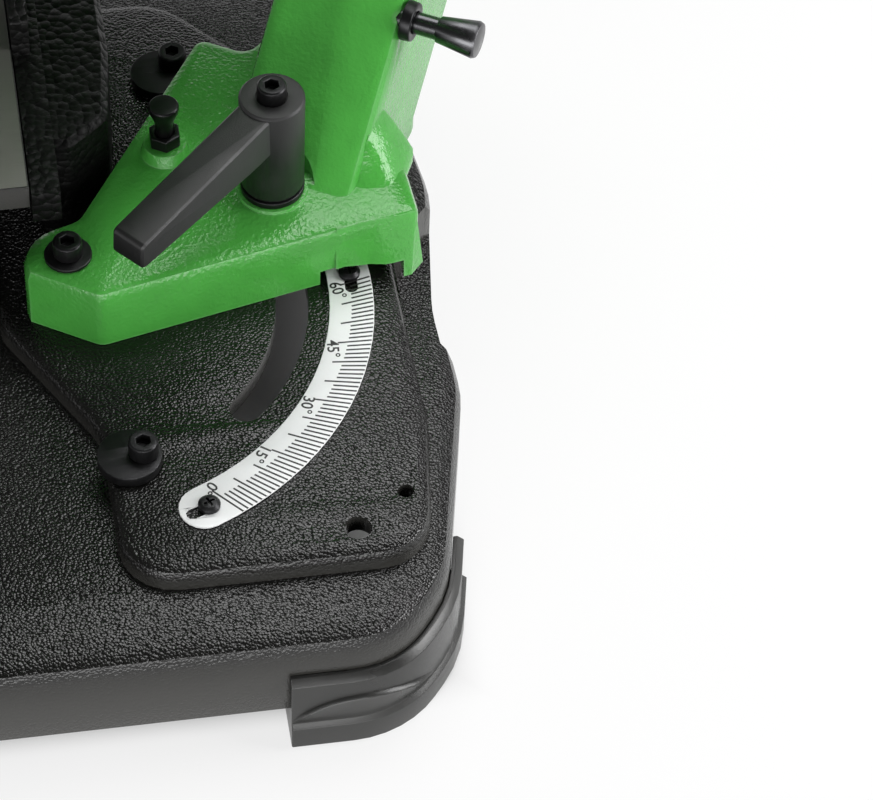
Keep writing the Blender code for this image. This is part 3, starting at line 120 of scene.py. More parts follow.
class Tree:
    """A short way to place and join the nodes of one node tree."""

    def __init__(self, tree: bpy.types.NodeTree) -> None:
        """Keeps the tree that the nodes go into."""
        self.tree = tree

    def add(self, kind: str, inputs: dict | None = None, **settings) -> bpy.types.Node:
        """Places a node.

        Args:
            kind: the node's type name in Blender.
            inputs: values or sockets for the node's inputs, by name or number.
            settings: the node's own properties.

        Returns:
            The new node.
        """
        node = self.tree.nodes.new(kind)
        for name, value in settings.items():
            setattr(node, name, value)
        for name, value in (inputs or {}).items():
            if isinstance(value, Socket):
                self.tree.links.new(value, node.inputs[name])
            else:
                node.inputs[name].default_value = value
        return node

    def math(
        self, operation: str, first: Socket | float, second: Socket | float = 0.0, third: Socket | float = 0.0
    ) -> Socket:
        """Adds a Math node and returns its value."""
        return self.add("ShaderNodeMath", {0: first, 1: second, 2: third}, operation=operation).outputs[0]

    def spread(
        self, value: Socket, low: Socket | float, high: Socket | float, to_low: float, to_high: float
    ) -> Socket:
        """Maps a value from one range to another and returns the result.

        Args:
            value: the value.
            low: where the first range begins.
            high: where it ends.
            to_low: where the second range begins.
            to_high: where it ends.

        Returns:
            The result.
        """
        node = self.add(
            "ShaderNodeMapRange",
            {"Value": value, "From Min": low, "From Max": high, "To Min": to_low, "To Max": to_high},
            interpolation_type="SMOOTHSTEP",
        )
        return node.outputs["Result"]

    def mix(self, share: Socket, first: Socket | Colour, second: Socket | Colour) -> Socket:
        """Mixes two colours by a share and returns the colour.

        Args:
            share: share of the second colour.
            first: the first colour.
            second: the second colour.

        Returns:
            The mixed colour.
        """
        node = self.add("ShaderNodeMix", {0: share}, data_type="RGBA")
        for socket, value in ((node.inputs[6], first), (node.inputs[7], second)):
            if isinstance(value, Socket):
                self.tree.links.new(value, socket)
            else:
                socket.default_value = (*value, 1.0)
        return node.outputs[2]

    def blend(self, mask: Socket, share: float, first: Socket | Colour, second: Socket | Colour) -> Socket:
        """Mixes a share of a second colour in where a mask is 1 and returns the colour."""
        return self.mix(self.math("MULTIPLY", mask, share), first, second)

    def where(self) -> Socket:
        """Places on the object, in its own frame."""
        return self.add("ShaderNodeTexCoord").outputs["Object"]

    def noise(self, where: Socket, scale: Socket | float, detail: float = 2.0, **more: float) -> Socket:
        """Adds a noise texture and returns its value."""
        values = {"Vector": where, "Scale": scale, "Detail": detail, **more}
        return self.add("ShaderNodeTexNoise", values).outputs["Fac"]

    def bump(self, height: Socket, distance: float, strength: float) -> Socket:
        """Adds a Bump node and returns its normal."""
        values = {"Height": height, "Distance": distance, "Strength": strength}
        return self.add("ShaderNodeBump", values).outputs["Normal"]

    def link(self, value: Socket, socket: Socket) -> None:
        """Joins an output to an input."""
        self.tree.links.new(value, socket)


class Effect(Enum):
    """The effects that several finishes share, each one a node group."""

    PEBBLE = "pebble_grain"
    PEEL = "orange_peel"
    SMUDGE = "handling_smudge"
    # edges made lighter; on the gloss paint this is a painted highlight
    RIM = "worn_rim"
    BRUSH = "brushed_lines"
    TOP = "upward_face"


class Effects:
    """Builds the shared node groups once and places them in materials."""

    def __init__(self) -> None:
        """Makes every group."""
        self.groups: dict[Effect, bpy.types.NodeTree] = {}
        self._pebble()
        self._peel()
        self._smudge()
        self._rim()
        self._brush()
        self._top()

    def _open(self, effect: Effect, inputs: dict[str, float], outputs: tuple[str, ...]) -> tuple:
        """Starts a group.

        Args:
            effect: which effect the group is.
            inputs: the names of the group's numbers, with their usual values.
            outputs: the names of the values that it puts out.

        Returns:
            The tree, the group's input node and its output node.
        """
        group = bpy.data.node_groups.new(effect.value, "ShaderNodeTree")
        for name, usual in inputs.items():
            socket = group.interface.new_socket(name, in_out="INPUT", socket_type="NodeSocketFloat")
            socket.default_value = usual
        for name in outputs:
            group.interface.new_socket(name, in_out="OUTPUT", socket_type="NodeSocketFloat")
        tree = Tree(group)
        self.groups[effect] = group
        return tree, tree.add("NodeGroupInput"), tree.add("NodeGroupOutput")

    def _pebble(self) -> None:
        """Small round domes of thick textured paint on a casting, with the gaps between them."""
        tree, given, result = self._open(Effect.PEBBLE, {"Scale": 760.0, "Swell": 0.10}, ("Height", "Valley"))
        where = tree.where()
        warp = tree.add("ShaderNodeTexNoise", {"Vector": where, "Scale": 760.0, "Detail": 1.0})
        bent = tree.add("ShaderNodeVectorMath", {0: warp.outputs["Color"]}, operation="SCALE")
        bent.inputs["Scale"].default_value = 0.0007
        moved = tree.add("ShaderNodeVectorMath", {0: where, 1: bent.outputs[0]}, operation="ADD").outputs[0]
        spots = {"Vector": moved, "Scale": given.outputs["Scale"]}
        gap = tree.add("ShaderNodeTexVoronoi", spots, feature="F1").outputs["Distance"]
        round_top = tree.math("SUBTRACT", 1.0, tree.math("MULTIPLY", gap, gap))
        fine = tree.noise(moved, 1900.0, 1.0)
        swell = tree.noise(where, 130.0, 2.0)
        height = tree.math("MULTIPLY_ADD", fine, 0.10, round_top)
        height = tree.math("MULTIPLY_ADD", swell, given.outputs["Swell"], height)
        tree.link(height, result.inputs["Height"])
        # mask of the gaps between the pebbles, where painted shade goes
        tree.link(tree.spread(gap, 0.40, 0.75, 0.0, 1.0), result.inputs["Valley"])

    def _peel(self) -> None:
        """The slight waves of sprayed gloss paint."""
        tree, given, result = self._open(Effect.PEEL, {"Scale": 260.0}, ("Height", "Wave"))
        where = tree.where()
        near = tree.noise(where, given.outputs["Scale"])
        wide = tree.noise(where, 70.0)
        tree.link(tree.math("MULTIPLY_ADD", wide, 0.8, near), result.inputs["Height"])
        tree.link(wide, result.inputs["Wave"])

    def _smudge(self) -> None:
        """Uneven patches left by hands, oil and dust."""
        tree, given, result = self._open(Effect.SMUDGE, {"Scale": 14.0, "Grit": 900.0}, ("Patch", "Speck"))
        where = tree.where()
        broad = tree.noise(where, given.outputs["Scale"], 4.0, Roughness=0.62, Distortion=0.6)
        tree.link(tree.spread(broad, 0.35, 0.68, 0.0, 1.0), result.inputs["Patch"])
        grit = tree.noise(where, given.outputs["Grit"], 1.0)
        tree.link(tree.spread(grit, 0.66, 0.8, 0.0, 1.0), result.inputs["Speck"])

    def _rim(self) -> None:
        """A mask along edges, broken up by noise."""
        tree, given, result = self._open(Effect.RIM, {"Width": 0.0015, "Break": 120.0}, ("Edge",))
        smooth = tree.add("ShaderNodeBevel", {"Radius": given.outputs["Width"]}, samples=4).outputs["Normal"]
        plain = tree.add("ShaderNodeNewGeometry").outputs["Normal"]
        along = tree.add("ShaderNodeVectorMath", {0: smooth, 1: plain}, operation="DOT_PRODUCT")
        edge = tree.spread(along.outputs["Value"], 0.998, 0.90, 0.0, 1.0)
        where = tree.where()
        broken = tree.noise(where, given.outputs["Break"], 3.0)
        keep = tree.spread(broken, 0.36, 0.62, 0.25, 1.0)
        tree.link(tree.math("MULTIPLY", edge, keep), result.inputs["Edge"])

    def _brush(self) -> None:
        """Fine lines of turned or ground metal along one direction."""
        tree, given, result = self._open(Effect.BRUSH, {"Fine": 2600.0, "Long": 40.0}, ("Line",))
        where = tree.where()
        scale = tree.add(
            "ShaderNodeCombineXYZ",
            {"X": given.outputs["Long"], "Y": given.outputs["Fine"], "Z": given.outputs["Fine"]},
        ).outputs[0]
        drawn = tree.add("ShaderNodeVectorMath", {0: where, 1: scale}, operation="MULTIPLY").outputs[0]
        tree.link(tree.noise(drawn, 1.0, 2.0), result.inputs["Line"])

    def _top(self) -> None:
        """A mask of the faces that look up, for pieces that stand level."""
        tree, given, result = self._open(Effect.TOP, {"Low": 0.02, "High": 0.40}, ("Face",))
        normal = tree.add("ShaderNodeTexCoord").outputs["Normal"]
        up = tree.add("ShaderNodeSeparateXYZ", {0: normal}).outputs["Z"]
        face = tree.spread(up, given.outputs["Low"], given.outputs["High"], 0.0, 1.0)
        tree.link(face, result.inputs["Face"])

    def place(self, tree: Tree, effect: Effect, **values: float) -> bpy.types.Node:
        """Places one effect in a material.

        Args:
            tree: the material's nodes.
            effect: which effect.
            values: the group's inputs that differ from their usual values.

        Returns:
            The group node.
        """
        node = tree.add("ShaderNodeGroup", node_tree=self.groups[effect])
        for name, value in values.items():
            node.inputs[name].default_value = value
        return node


# Finishes

@dataclass(frozen=True)
class Finish:
    """A finish with one colour. Its kinds add the detail that the real surface shows.

    Attributes:
        name: the material's name.
        colour: linear colour of the surface.
        rough: usual roughness.
        metal: 1 for bare metal.
        gloss: how strongly the surface mirrors, 0.5 for most.
    """

    name: str
    colour: Colour
    rough: float = 0.5
    metal: float = 0.0
    gloss: float = 0.5

    def build(self, effects: Effects) -> bpy.types.Material:
        """Makes the material.

        Args:
            effects: the shared node groups.

        Returns:
            The finished material.
        """
        material = bpy.data.materials.new(self.name)
        material.use_nodes = True
        shader = material.node_tree.nodes["Principled BSDF"]
        shader.inputs["Base Color"].default_value = (*self.colour, 1.0)
        shader.inputs["Roughness"].default_value = self.rough
        shader.inputs["Metallic"].default_value = self.metal
        shader.inputs["Specular IOR Level"].default_value = self.gloss
        self.dress(Tree(material.node_tree), shader, effects)
        return material

    def dress(self, tree: Tree, shader: bpy.types.Node, effects: Effects) -> None:
        """Adds the detail of this kind of finish."""

    def worn(self, tree: Tree, smudge: bpy.types.Node, less: float, more: float) -> Socket:
        """The roughness, less in clean places and more in smudged ones."""
        return tree.spread(smudge.outputs["Patch"], 0.0, 1.0, self.rough - less, self.rough + more)

    @staticmethod
    def join(
        tree: Tree, shader: bpy.types.Node, colour: Socket, rough: Socket, normal: Socket | None = None
    ) -> None:
        """Gives the shader its colour, its roughness and, where there is one, its normal.

        Args:
            tree: the nodes.
            shader: the material's shader.
            colour: the colour.
            rough: the roughness.
            normal: the normal, if there is one.
        """
        tree.link(colour, shader.inputs["Base Color"])
        tree.link(rough, shader.inputs["Roughness"])
        if normal:
            tree.link(normal, shader.inputs["Normal"])

    def tint(self, factor: float) -> Colour:
        """The finish's colour, lighter or darker by a factor."""
        return tuple(min(1.0, channel * factor) for channel in self.colour)


@dataclass(frozen=True)
class CastPaint(Finish):
    """Thick black paint with a pebbled grain on a casting.

    Attributes:
        grain: pebbles per metre.
        depth: how deep the grain is.
        wall: how much of the grain is left on upright walls.
        painted_wall_light: how many times lighter than the rest the upright walls are painted, standing in
            for the light that they catch.
        ground: colour of the machined top face, for a casting that has one.
    """

    grain: float = 760.0
    depth: float = 0.00042
    wall: float = 0.25
    painted_wall_light: float = 7.0
    ground: Colour | None = None

    def dress(self, tree: Tree, shader: bpy.types.Node, effects: Effects) -> None:
        """Adds the grain, painted shade between the pebbles, lighter edges, painted light on upright walls
        and a machined top.

        Args:
            tree: the nodes.
            shader: the material's shader.
            effects: the shared node groups.
        """
        pebble = effects.place(tree, Effect.PEBBLE, Scale=self.grain)
        smudge = effects.place(tree, Effect.SMUDGE, Scale=9.0)
        rim = effects.place(tree, Effect.RIM, Width=0.0025)
        top = effects.place(tree, Effect.TOP)
        colour = tree.mix(smudge.outputs["Patch"], self.tint(0.75), self.tint(1.5))
        # painted shade: the gaps between the pebbles are darkened
        colour = tree.blend(pebble.outputs["Valley"], 0.45, colour, self.tint(0.4))
        # the colour is lighter along the edges
        colour = tree.blend(rim.outputs["Edge"], 0.3, colour, self.tint(3.0))
        rough = self.worn(tree, smudge, 0.03, 0.06)
        # painted light: the upright walls are painted lighter than the faces that look up, standing in for
        # the light that they catch
        colour = tree.mix(top.outputs["Face"], self.tint(self.painted_wall_light), colour)
        share = tree.spread(top.outputs["Face"], 0.0, 1.0, self.wall, 1.0)
        height = tree.math("MULTIPLY", pebble.outputs["Height"], share)
        if self.ground:
            colour, rough, height = self._machined(tree, shader, effects, (colour, rough, height))
        self.join(tree, shader, colour, rough, tree.bump(height, self.depth, 0.8))

    def _machined(self, tree: Tree, shader: bpy.types.Node, effects: Effects, paint: tuple) -> tuple:
        """Leaves the level top face as ground metal.

        Args:
            tree: the material's nodes.
            shader: its shader, which turns metallic on the top face.
            effects: the shared node groups.
            paint: colour, roughness and grain of the paint.

        Returns:
            Colour, roughness and grain with the top face in them.
        """
        colour, rough, height = paint
        level = effects.place(tree, Effect.TOP, Low=0.93, High=0.99).outputs["Face"]
        line = effects.place(tree, Effect.BRUSH, Fine=1500.0, Long=60.0).outputs["Line"]
        patch = effects.place(tree, Effect.SMUDGE, Scale=24.0).outputs["Patch"]
        dull = tuple(channel * 0.7 for channel in self.ground)
        metal = tree.mix(line, dull, self.ground)
        metal = tree.blend(patch, 0.3, metal, dull)
        tree.link(tree.math("MULTIPLY", level, 0.6), shader.inputs["Metallic"])
        bare_rough = tree.spread(line, 0.2, 0.8, 0.40, 0.56)
        gap = tree.math("SUBTRACT", bare_rough, rough)
        rough = tree.math("MULTIPLY_ADD", gap, level, rough)
        drop = tree.math("SUBTRACT", tree.math("MULTIPLY", line, 0.06), height)
        return tree.mix(level, colour, metal), rough, tree.math("MULTIPLY_ADD", drop, level, height)


@dataclass(frozen=True)
class GlossPaint(Finish):
    """Sprayed gloss paint with orange peel, and a painted highlight along the edges.

    Attributes:
        peel: waves per metre.
        depth: how deep the waves are.
    """

    peel: float = 520.0
    depth: float = 0.00046

    def dress(self, tree: Tree, shader: bpy.types.Node, effects: Effects) -> None:
        """Adds the waves, the smudges and the painted highlight along the edges.

        Args:
            tree: the nodes.
            shader: the material's shader.
            effects: the shared node groups.
        """
        peel = effects.place(tree, Effect.PEEL, Scale=self.peel)
        smudge = effects.place(tree, Effect.SMUDGE, Scale=11.0)
        rim = effects.place(tree, Effect.RIM, Width=0.002, Break=90.0)
        colour = tree.mix(peel.outputs["Wave"], self.tint(0.86), self.tint(1.14))
        # painted highlight: a pale colour along the edges
        painted_edge_highlight = tuple(channel * 0.72 + 0.20 for channel in self.colour)
        colour = tree.blend(rim.outputs["Edge"], 0.30, colour, painted_edge_highlight)
        normal = tree.bump(peel.outputs["Height"], self.depth, 0.8)
        self.join(tree, shader, colour, self.worn(tree, smudge, 0.05, 0.08), normal)


@dataclass(frozen=True)
class Moulding(Finish):
    """Matte plastic or rubber with a fine spark grain.

    Attributes:
        grain: grains per metre.
        depth: how deep the grain is.
    """

    grain: float = 2400.0
    depth: float = 0.00012

    def dress(self, tree: Tree, shader: bpy.types.Node, effects: Effects) -> None:
        """Adds the grain, the smudges and lighter edges.

        Args:
            tree: the nodes.
            shader: the material's shader.
            effects: the shared node groups.
        """
        smudge = effects.place(tree, Effect.SMUDGE, Scale=22.0, Grit=self.grain)
        rim = effects.place(tree, Effect.RIM, Width=0.0012)
        grain = tree.noise(tree.where(), self.grain)
        colour = tree.mix(smudge.outputs["Patch"], self.tint(0.85), self.tint(1.25))
        # the colour is lighter along the edges
        colour = tree.blend(rim.outputs["Edge"], 0.4, colour, self.tint(2.6))
        rough = self.worn(tree, smudge, 0.06, 0.07)
        self.join(tree, shader, colour, rough, tree.bump(grain, self.depth, 0.6))


@dataclass(frozen=True)
class Metal(Finish):
    """Bare, ground or blackened metal with fine tool lines and bright edges.

    Attributes:
        edge: how much brighter than the rest the rubbed edges are.
        depth: how deep the tool lines are.
    """

    edge: float = 1.6
    depth: float = 0.00004

    def dress(self, tree: Tree, shader: bpy.types.Node, effects: Effects) -> None:
        """Adds tool lines, smudges and bright edges.

        Args:
            tree: the nodes.
            shader: the material's shader.
            effects: the shared node groups.
        """
        line = effects.place(tree, Effect.BRUSH).outputs["Line"]
        smudge = effects.place(tree, Effect.SMUDGE, Scale=35.0)
        rim = effects.place(tree, Effect.RIM, Width=0.0008, Break=300.0)
        colour = tree.mix(line, self.tint(0.88), self.tint(1.12))
        colour = tree.blend(rim.outputs["Edge"], 0.7, colour, self.tint(self.edge))
        rough = tree.math("MULTIPLY_ADD", line, 0.10, self.worn(tree, smudge, 0.06, 0.10))
        self.join(tree, shader, colour, rough, tree.bump(line, self.depth, 0.5))


@dataclass(frozen=True)
class Print(Finish):
    """White lacquer of a printed strip, or its ink."""

    def dress(self, tree: Tree, shader: bpy.types.Node, effects: Effects) -> None:
        """Adds a little dirt and wear.

        Args:
            tree: the nodes.
            shader: the material's shader.
            effects: the shared node groups.
        """
        smudge = effects.place(tree, Effect.SMUDGE, Scale=60.0, Grit=1500.0)
        colour = tree.blend(smudge.outputs["Patch"], 0.4, self.colour, self.tint(0.9))
        colour = tree.blend(smudge.outputs["Speck"], 0.3, colour, self.tint(0.75))
        self.join(tree, shader, colour, self.worn(tree, smudge, 0.05, 0.08))


class Coat(Enum):
    """The saw's finishes."""

    CAST = CastPaint("black_grained_paint", (0.0046, 0.0045, 0.0041), 0.15)
    BED = CastPaint("vise_bed", (0.0065, 0.0064, 0.0060), 0.36, ground=(0.200, 0.195, 0.180))
    JAW = CastPaint(
        "black_jaw_paint", (0.0030, 0.0030, 0.0029), 0.40, gloss=0.16,
        grain=260.0, depth=0.0012, wall=0.9, painted_wall_light=1.0,
    )
    GREEN = GlossPaint("green_gloss_paint", (0.060, 0.315, 0.047), 0.16, gloss=0.46)
    FOOT = Moulding("foot_rubber", (0.020, 0.020, 0.019), 0.30)
    PLASTIC = Moulding("black_moulding", (0.0085, 0.0085, 0.0087), 0.42)
    OXIDE = Metal("black_oxide", (0.022, 0.022, 0.023), 0.32, 0.85, edge=4.0)
    STEEL = Metal("bare_steel", (0.46, 0.46, 0.45), 0.26, 1.0, edge=1.4)
    GUNMETAL = Metal("gunmetal", (0.10, 0.10, 0.105), 0.24, 1.0, edge=2.2)
    STRIP = Print("white_strip", (0.80, 0.81, 0.81), 0.34)
    INK = Print("black_ink", (0.014, 0.014, 0.014), 0.42)


class Paints:
    """The materials, made on first use."""

    def __init__(self, effects: Effects) -> None:
        """Keeps the shared node groups."""
        self.effects = effects
        self.made: dict[Coat, bpy.types.Material] = {}

    def get(self, coat: Coat) -> bpy.types.Material:
        """The material of a finish.

        Args:
            coat: the finish.

        Returns:
            The material.
        """
        if coat not in self.made:
            self.made[coat] = coat.value.build(self.effects)
        return self.made[coat]

    def coat(self, obj: bpy.types.Object, coat: Coat) -> None:
        """Gives an object one finish."""
        obj.data.materials.clear()
        obj.data.materials.append(self.get(coat))


SLOT_COATS = {
    "black_cast": Coat.CAST,
    "rubber": Coat.FOOT,
    "scale": Coat.STRIP,
    "black_oxide": Coat.OXIDE,
    "steel": Coat.STEEL,
    "green_paint": Coat.GREEN,
    "black_plastic": Coat.PLASTIC,
}
NODE_COATS = {
    "fixed_jaw": Coat.JAW,
    "movable_jaw": Coat.JAW,
    "vise_table": Coat.BED,
    "lock_pin": Coat.GUNMETAL,
}


# Places

@dataclass(frozen=True)
class Places:
    """The frames of the sub-assemblies at rest.

    Attributes:
        scale: the middle of the degree scale, on the floor.
        arm: the swivel arm, X along the arm from its pivot.
        hinge: the bow's hinge line, X along the blade and Y along the pin.
        wheels: the plane of the wheels, X along the blade and Z out of the cover.
        screw: the vise screw, Z along the screw towards its handwheel.
        tension: the blade tension knob, Z out of the knob.
        guide: the guide's clamp knob, Z out of the knob.
    """

    scale: Matrix
    arm: Matrix
    hinge: Matrix
    wheels: Matrix
    screw: Matrix
    tension: Matrix
    guide: Matrix

    @staticmethod
    def axes(origin: Vector, x: Vector, z: Vector) -> Matrix:
        """A frame from its origin, its X and its Z.

        Args:
            origin: the frame's origin.
            x: its X.
            z: its Z.

        Returns:
            The frame.
        """
        matrix = Matrix((x, z.cross(x), z)).transposed().to_4x4()
        matrix.translation = origin
        return matrix

    @classmethod
    def read(cls, record: dict, pivot_offset: float = 0.0061, drive_along: float = 0.160) -> Places:
        """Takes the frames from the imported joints.

        Args:
            record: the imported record.
            pivot_offset: how far the swivel pivot lies to the right of the scale's middle.
            drive_along: how far the drive wheel lies from the middle of the wheel plane.

        Returns:
            The frames.
        """
        joints = {joint["name"]: joint for joint in record["behaviour"]["joints"]}

        def place(name: str) -> Vector:
            """Where a joint lies."""
            return Vector(joints[name]["pos_m"])

        def along(name: str) -> Vector:
            """Which way a joint's axis points."""
            return Vector(joints[name]["axis"]).normalized()

        up = Vector((0.0, 0.0, 1.0))
        pivot = place("swivel")
        pin = along("bow_lift")
        blade = along("tension_move")
        out = along("drive_spin")
        return cls(
            scale=Matrix.Translation((pivot.x - pivot_offset, pivot.y, 0.0)),
            arm=cls.axes(Vector((pivot.x, pivot.y, 0.0)), pin.cross(up), up),
            hinge=cls.axes(place("bow_lift"), pin.cross(up), up),
            wheels=cls.axes(place("drive_spin") - blade * drive_along, blade, out),
            screw=cls.axes(place("screw_turn"), up, -along("screw_turn")),
            tension=cls.axes(place("tension_knob_turn"), out, -blade),
            guide=cls.axes(place("guide_knob_turn"), blade, out),
        )


# The carried-over solids

@dataclass
class Solids:
    """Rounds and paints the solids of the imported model.

    Attributes:
        soften: how far most sharp edges are rounded.
        softer: beginnings of the names of pieces with rounder edges, and how far those are rounded.
        sharp_angle: edges sharper than this are rounded.
        weld: points nearer to each other than this become one.
    """

    paints: Paints
    soften: float = 0.0006
    softer: tuple[tuple[str, float], ...] = (("swivel", 0.0040), ("foot", 0.0024), ("clamp_lever", 0.0012))
    sharp_angle: float = math.radians(32)
    weld: float = 0.00002

    def dress(self, frame: dict) -> None:
        """Gives every solid its finish and rounded edges.
        """
        slots = {part["node"]: part["material_slot"] for part in frame["record"]["subparts"]}
        for name, obj in frame["nodes"].items():
            coat = NODE_COATS.get(name, SLOT_COATS[slots[name]])
            self.paints.coat(obj, coat)
            self.round_edges(obj)
            LOG.info("solid %s: %s", name, coat.value.name)

    def round_edges(self, obj: bpy.types.Object) -> None:
        """Welds the facets, rounds the sharp edges and smooths the shading.

        Args:
            obj: the object.
        """
        weld = obj.modifiers.new("weld", "WELD")
        weld.merge_threshold = self.weld
        bevel = obj.modifiers.new("round", "BEVEL")
        sizes = [size for start, size in self.softer if obj.name.startswith(start)]
        bevel.width = sizes[0] if sizes else self.soften
        bevel.segments = 4
        bevel.limit_method = "ANGLE"
        bevel.angle_limit = self.sharp_angle
        bevel.harden_normals = True
        obj.data.shade_smooth()


# Small pieces

class Forge:
    """Turns mesh code into finished pieces that ride on a body."""

    def __init__(self, paints: Paints) -> None:
        """Keeps the materials."""
        self.paints = paints

    def piece(
        self, name: str, work: bmesh.types.BMesh, place: Matrix, coat: Coat, body: str, slot: str
    ) -> bpy.types.Object:
        """Makes an object from a mesh.

        Args:
            name: the piece's name.
            work: its mesh, in its own frame. It is freed.
            place: that frame.
            coat: its finish.
            body: the body that carries it.
            slot: the record's material slot; not used.

        Returns:
            The object.
        """
        bmesh.ops.recalc_face_normals(work, faces=work.faces)
        mesh = finished(name, work)
        mesh.transform(place)
        mesh.shade_smooth()
        obj = shown(name, mesh)
        self.paints.coat(obj, coat)
        self._keep_corners(obj)
        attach(obj, body)
        LOG.info("piece %s on %s: %s", name, body, coat.value.name)
        return obj

    @staticmethod
    def _keep_corners(obj: bpy.types.Object, angle: float = math.radians(35)) -> None:
        """Leaves edges sharper than an angle unsmoothed.

        Args:
            obj: the object.
            angle: the angle.
        """
        work = bmesh.new()
        work.from_mesh(obj.data)
        for edge in work.edges:
            edge.smooth = len(edge.link_faces) == 2 and edge.calc_face_angle(0.0) < angle
        work.to_mesh(obj.data)
        work.free()

    @staticmethod
    def tube(rows: list[list[Vector]]) -> bmesh.types.BMesh:
        """A closed skin over rings of points, with flat ends.

        Args:
            rows: the rings, each with as many points.

        Returns:
            The mesh.
        """
        work = bmesh.new()
        rings = [[work.verts.new(point) for point in row] for row in rows]
        count = len(rows[0])
        for low, high in zip(rings, rings[1:]):
            for index in range(count):
                after = (index + 1) % count
                work.faces.new((low[index], low[after], high[after], high[index]))
        work.faces.new(list(reversed(rings[0])))
        work.faces.new(rings[-1])
        return work

    @classmethod
    def turned(cls, profile: Profile, sides: int) -> bmesh.types.BMesh:
        """A turned solid about Z, from (radius, height) pairs.

        Args:
            profile: the pairs, from the bottom up.
            sides: points round the solid.

        Returns:
            The mesh.
        """
        return cls.tube([
            [Vector((radius * math.cos(a), radius * math.sin(a), height)) for a in circle(sides)]
            for radius, height in profile
        ])

    @staticmethod
    def gather(parts: list[tuple[bmesh.types.BMesh, Matrix]]) -> bmesh.types.BMesh:
        """Puts several meshes, each in its own place, into one. The parts are freed.

        Args:
            parts: the meshes with their places.

        Returns:
            The whole mesh.
        """
        whole = bmesh.new()
        for part, place in parts:
            mesh = finished("part", part)
            mesh.transform(place)
            whole.from_mesh(mesh)
            bpy.data.meshes.remove(mesh)
        return whole


@dataclass
class ReturnSpring:
    """The wound wire spring round the bow's hinge, in the hinge's frame.

    Attributes:
        wire: radius of the wire.
        mean: radius of the coil at the middle of the wire.
        pitch: how far the coil moves on in a turn.
        turns: whole turns.
        start: where the first turn lies along the hinge.
        leg: how far the two legs reach below the hinge.
        leg_steps: rings of the skin along a leg.
        tip: share of the wire's radius that its tips have.
        points: rings of the skin in a turn.
        sides: points round the wire.
    """

    forge: Forge
    wire: float = 0.0015
    mean: float = 0.0145
    pitch: float = 0.0044
    turns: int = 4
    start: float = -0.1025
    leg: float = 0.034
    leg_steps: int = 10
    tip: float = 0.75
    points: int = 32
    sides: int = 14

    def build(self, place: Matrix) -> None:
        """Winds the wire and puts it in place of the plain solid."""
        spring = self.forge.piece("return_spring_wire", self._wire(), place, Coat.STEEL, "arm", "steel")
        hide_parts("return_spring")

    def _route(self) -> list[Vector]:
        """The middle line of the wire, from one leg's tip to the other's.

        Returns:
            The points of the line.
        """
        count = self.turns * self.points
        coil = []
        for step in range(count + 1):
            angle = 2 * math.pi * step / self.points
            along = self.start - self.pitch * step / self.points
            coil.append(Vector((self.mean * math.cos(angle), along, self.mean * math.sin(angle))))
        legs = [self.leg * (1 - step / self.leg_steps) for step in range(self.leg_steps)]
        first = [Vector((self.mean, coil[0].y, -drop)) for drop in legs]
        last = [Vector((self.mean, coil[-1].y, -drop)) for drop in reversed(legs)]
        return first + coil + last

    def _wire(self) -> bmesh.types.BMesh:
        """The round wire along its route, with chamfered tips.

        Returns:
            The mesh.
        """
        route = self._route()
        rows = []
        side = Vector((0.0, 1.0, 0.0))
        for index, point in enumerate(route):
            before = route[max(index - 1, 0)]
            after = route[min(index + 1, len(route) - 1)]
            ahead = (after - before).normalized()
            side = (side - ahead * side.dot(ahead)).normalized()
            other = ahead.cross(side)
            radius = self.wire * (self.tip if index in (0, len(route) - 1) else 1.0)
            ring = [side * math.cos(a) + other * math.sin(a) for a in circle(self.sides)]
            rows.append([point + spoke * radius for spoke in ring])
        return Forge.tube(rows)


@dataclass
class ArmWeb:
    """The cast web that runs from the arm's plate up the right side of its post.

    Attributes:
        side: where the post's right side lies across the arm.
        plate: height of the plate's top.
        low: how far the web reaches below it.
        root: how far the web reaches into the post.
        drop: share of that depth at which the slope ends.
        bulge: how far the slope swells out, in full where the web is higher than `full`.
        full: that height.
        stations: places along the arm, with the web's rise up the post and its width there.
        facets: points along the web's slope.
    """

    forge: Forge
    side: float = -0.1007
    plate: float = 0.108
    low: float = 0.0084
    root: float = 0.002
    drop: float = 0.35
    bulge: float = 0.0008
    full: float = 0.01
    stations: tuple[tuple[float, float, float], ...] = (
        (0.0835, -0.0010, 0.0200),
        (0.0880, 0.0020, 0.0190),
        (0.0930, 0.0085, 0.0180),
        (0.0970, 0.0142, 0.0170),
        (0.1005, 0.0176, 0.0162),
        (0.1090, 0.0182, 0.0156),
        (0.1165, 0.0180, 0.0150),
        (0.1192, 0.0165, 0.0140),
        (0.1204, 0.0130, 0.0118),
    )
    facets: int = 8

    def build(self, place: Matrix) -> None:
        """Casts the web on the arm."""
        rings = [self._ring(*station) for station in self.stations]
        self.forge.piece("arm_web", Forge.tube(rings), place, Coat.GREEN, "arm", "green_paint")

    def _ring(self, along: float, rise: float, width: float) -> list[Vector]:
        """The web's outline at one station, from the post down its slope and back under the plate.

        Args:
            along: place along the piece.
            rise: the web's rise up the post.
            width: the web's width.

        Returns:
            The outline's points.
        """
        start = Vector((along, self.side, self.plate + rise))
        stop = Vector((along, self.side - width, self.plate - self.low * self.drop))
        swell = self.bulge * min(1.0, max(0.0, rise / self.full))
        slope = []
        for step in range(self.facets + 1):
            share = step / self.facets
            slope.append(start.lerp(stop, share) + Vector((0.0, 0.0, swell * math.sin(math.pi * share))))
        back = self.side + self.root
        bottom = self.plate - self.low
        under = [Vector((along, self.side - width, bottom)), Vector((along, back, bottom))]
        return [Vector((along, back, self.plate + rise)), *slope, *under]


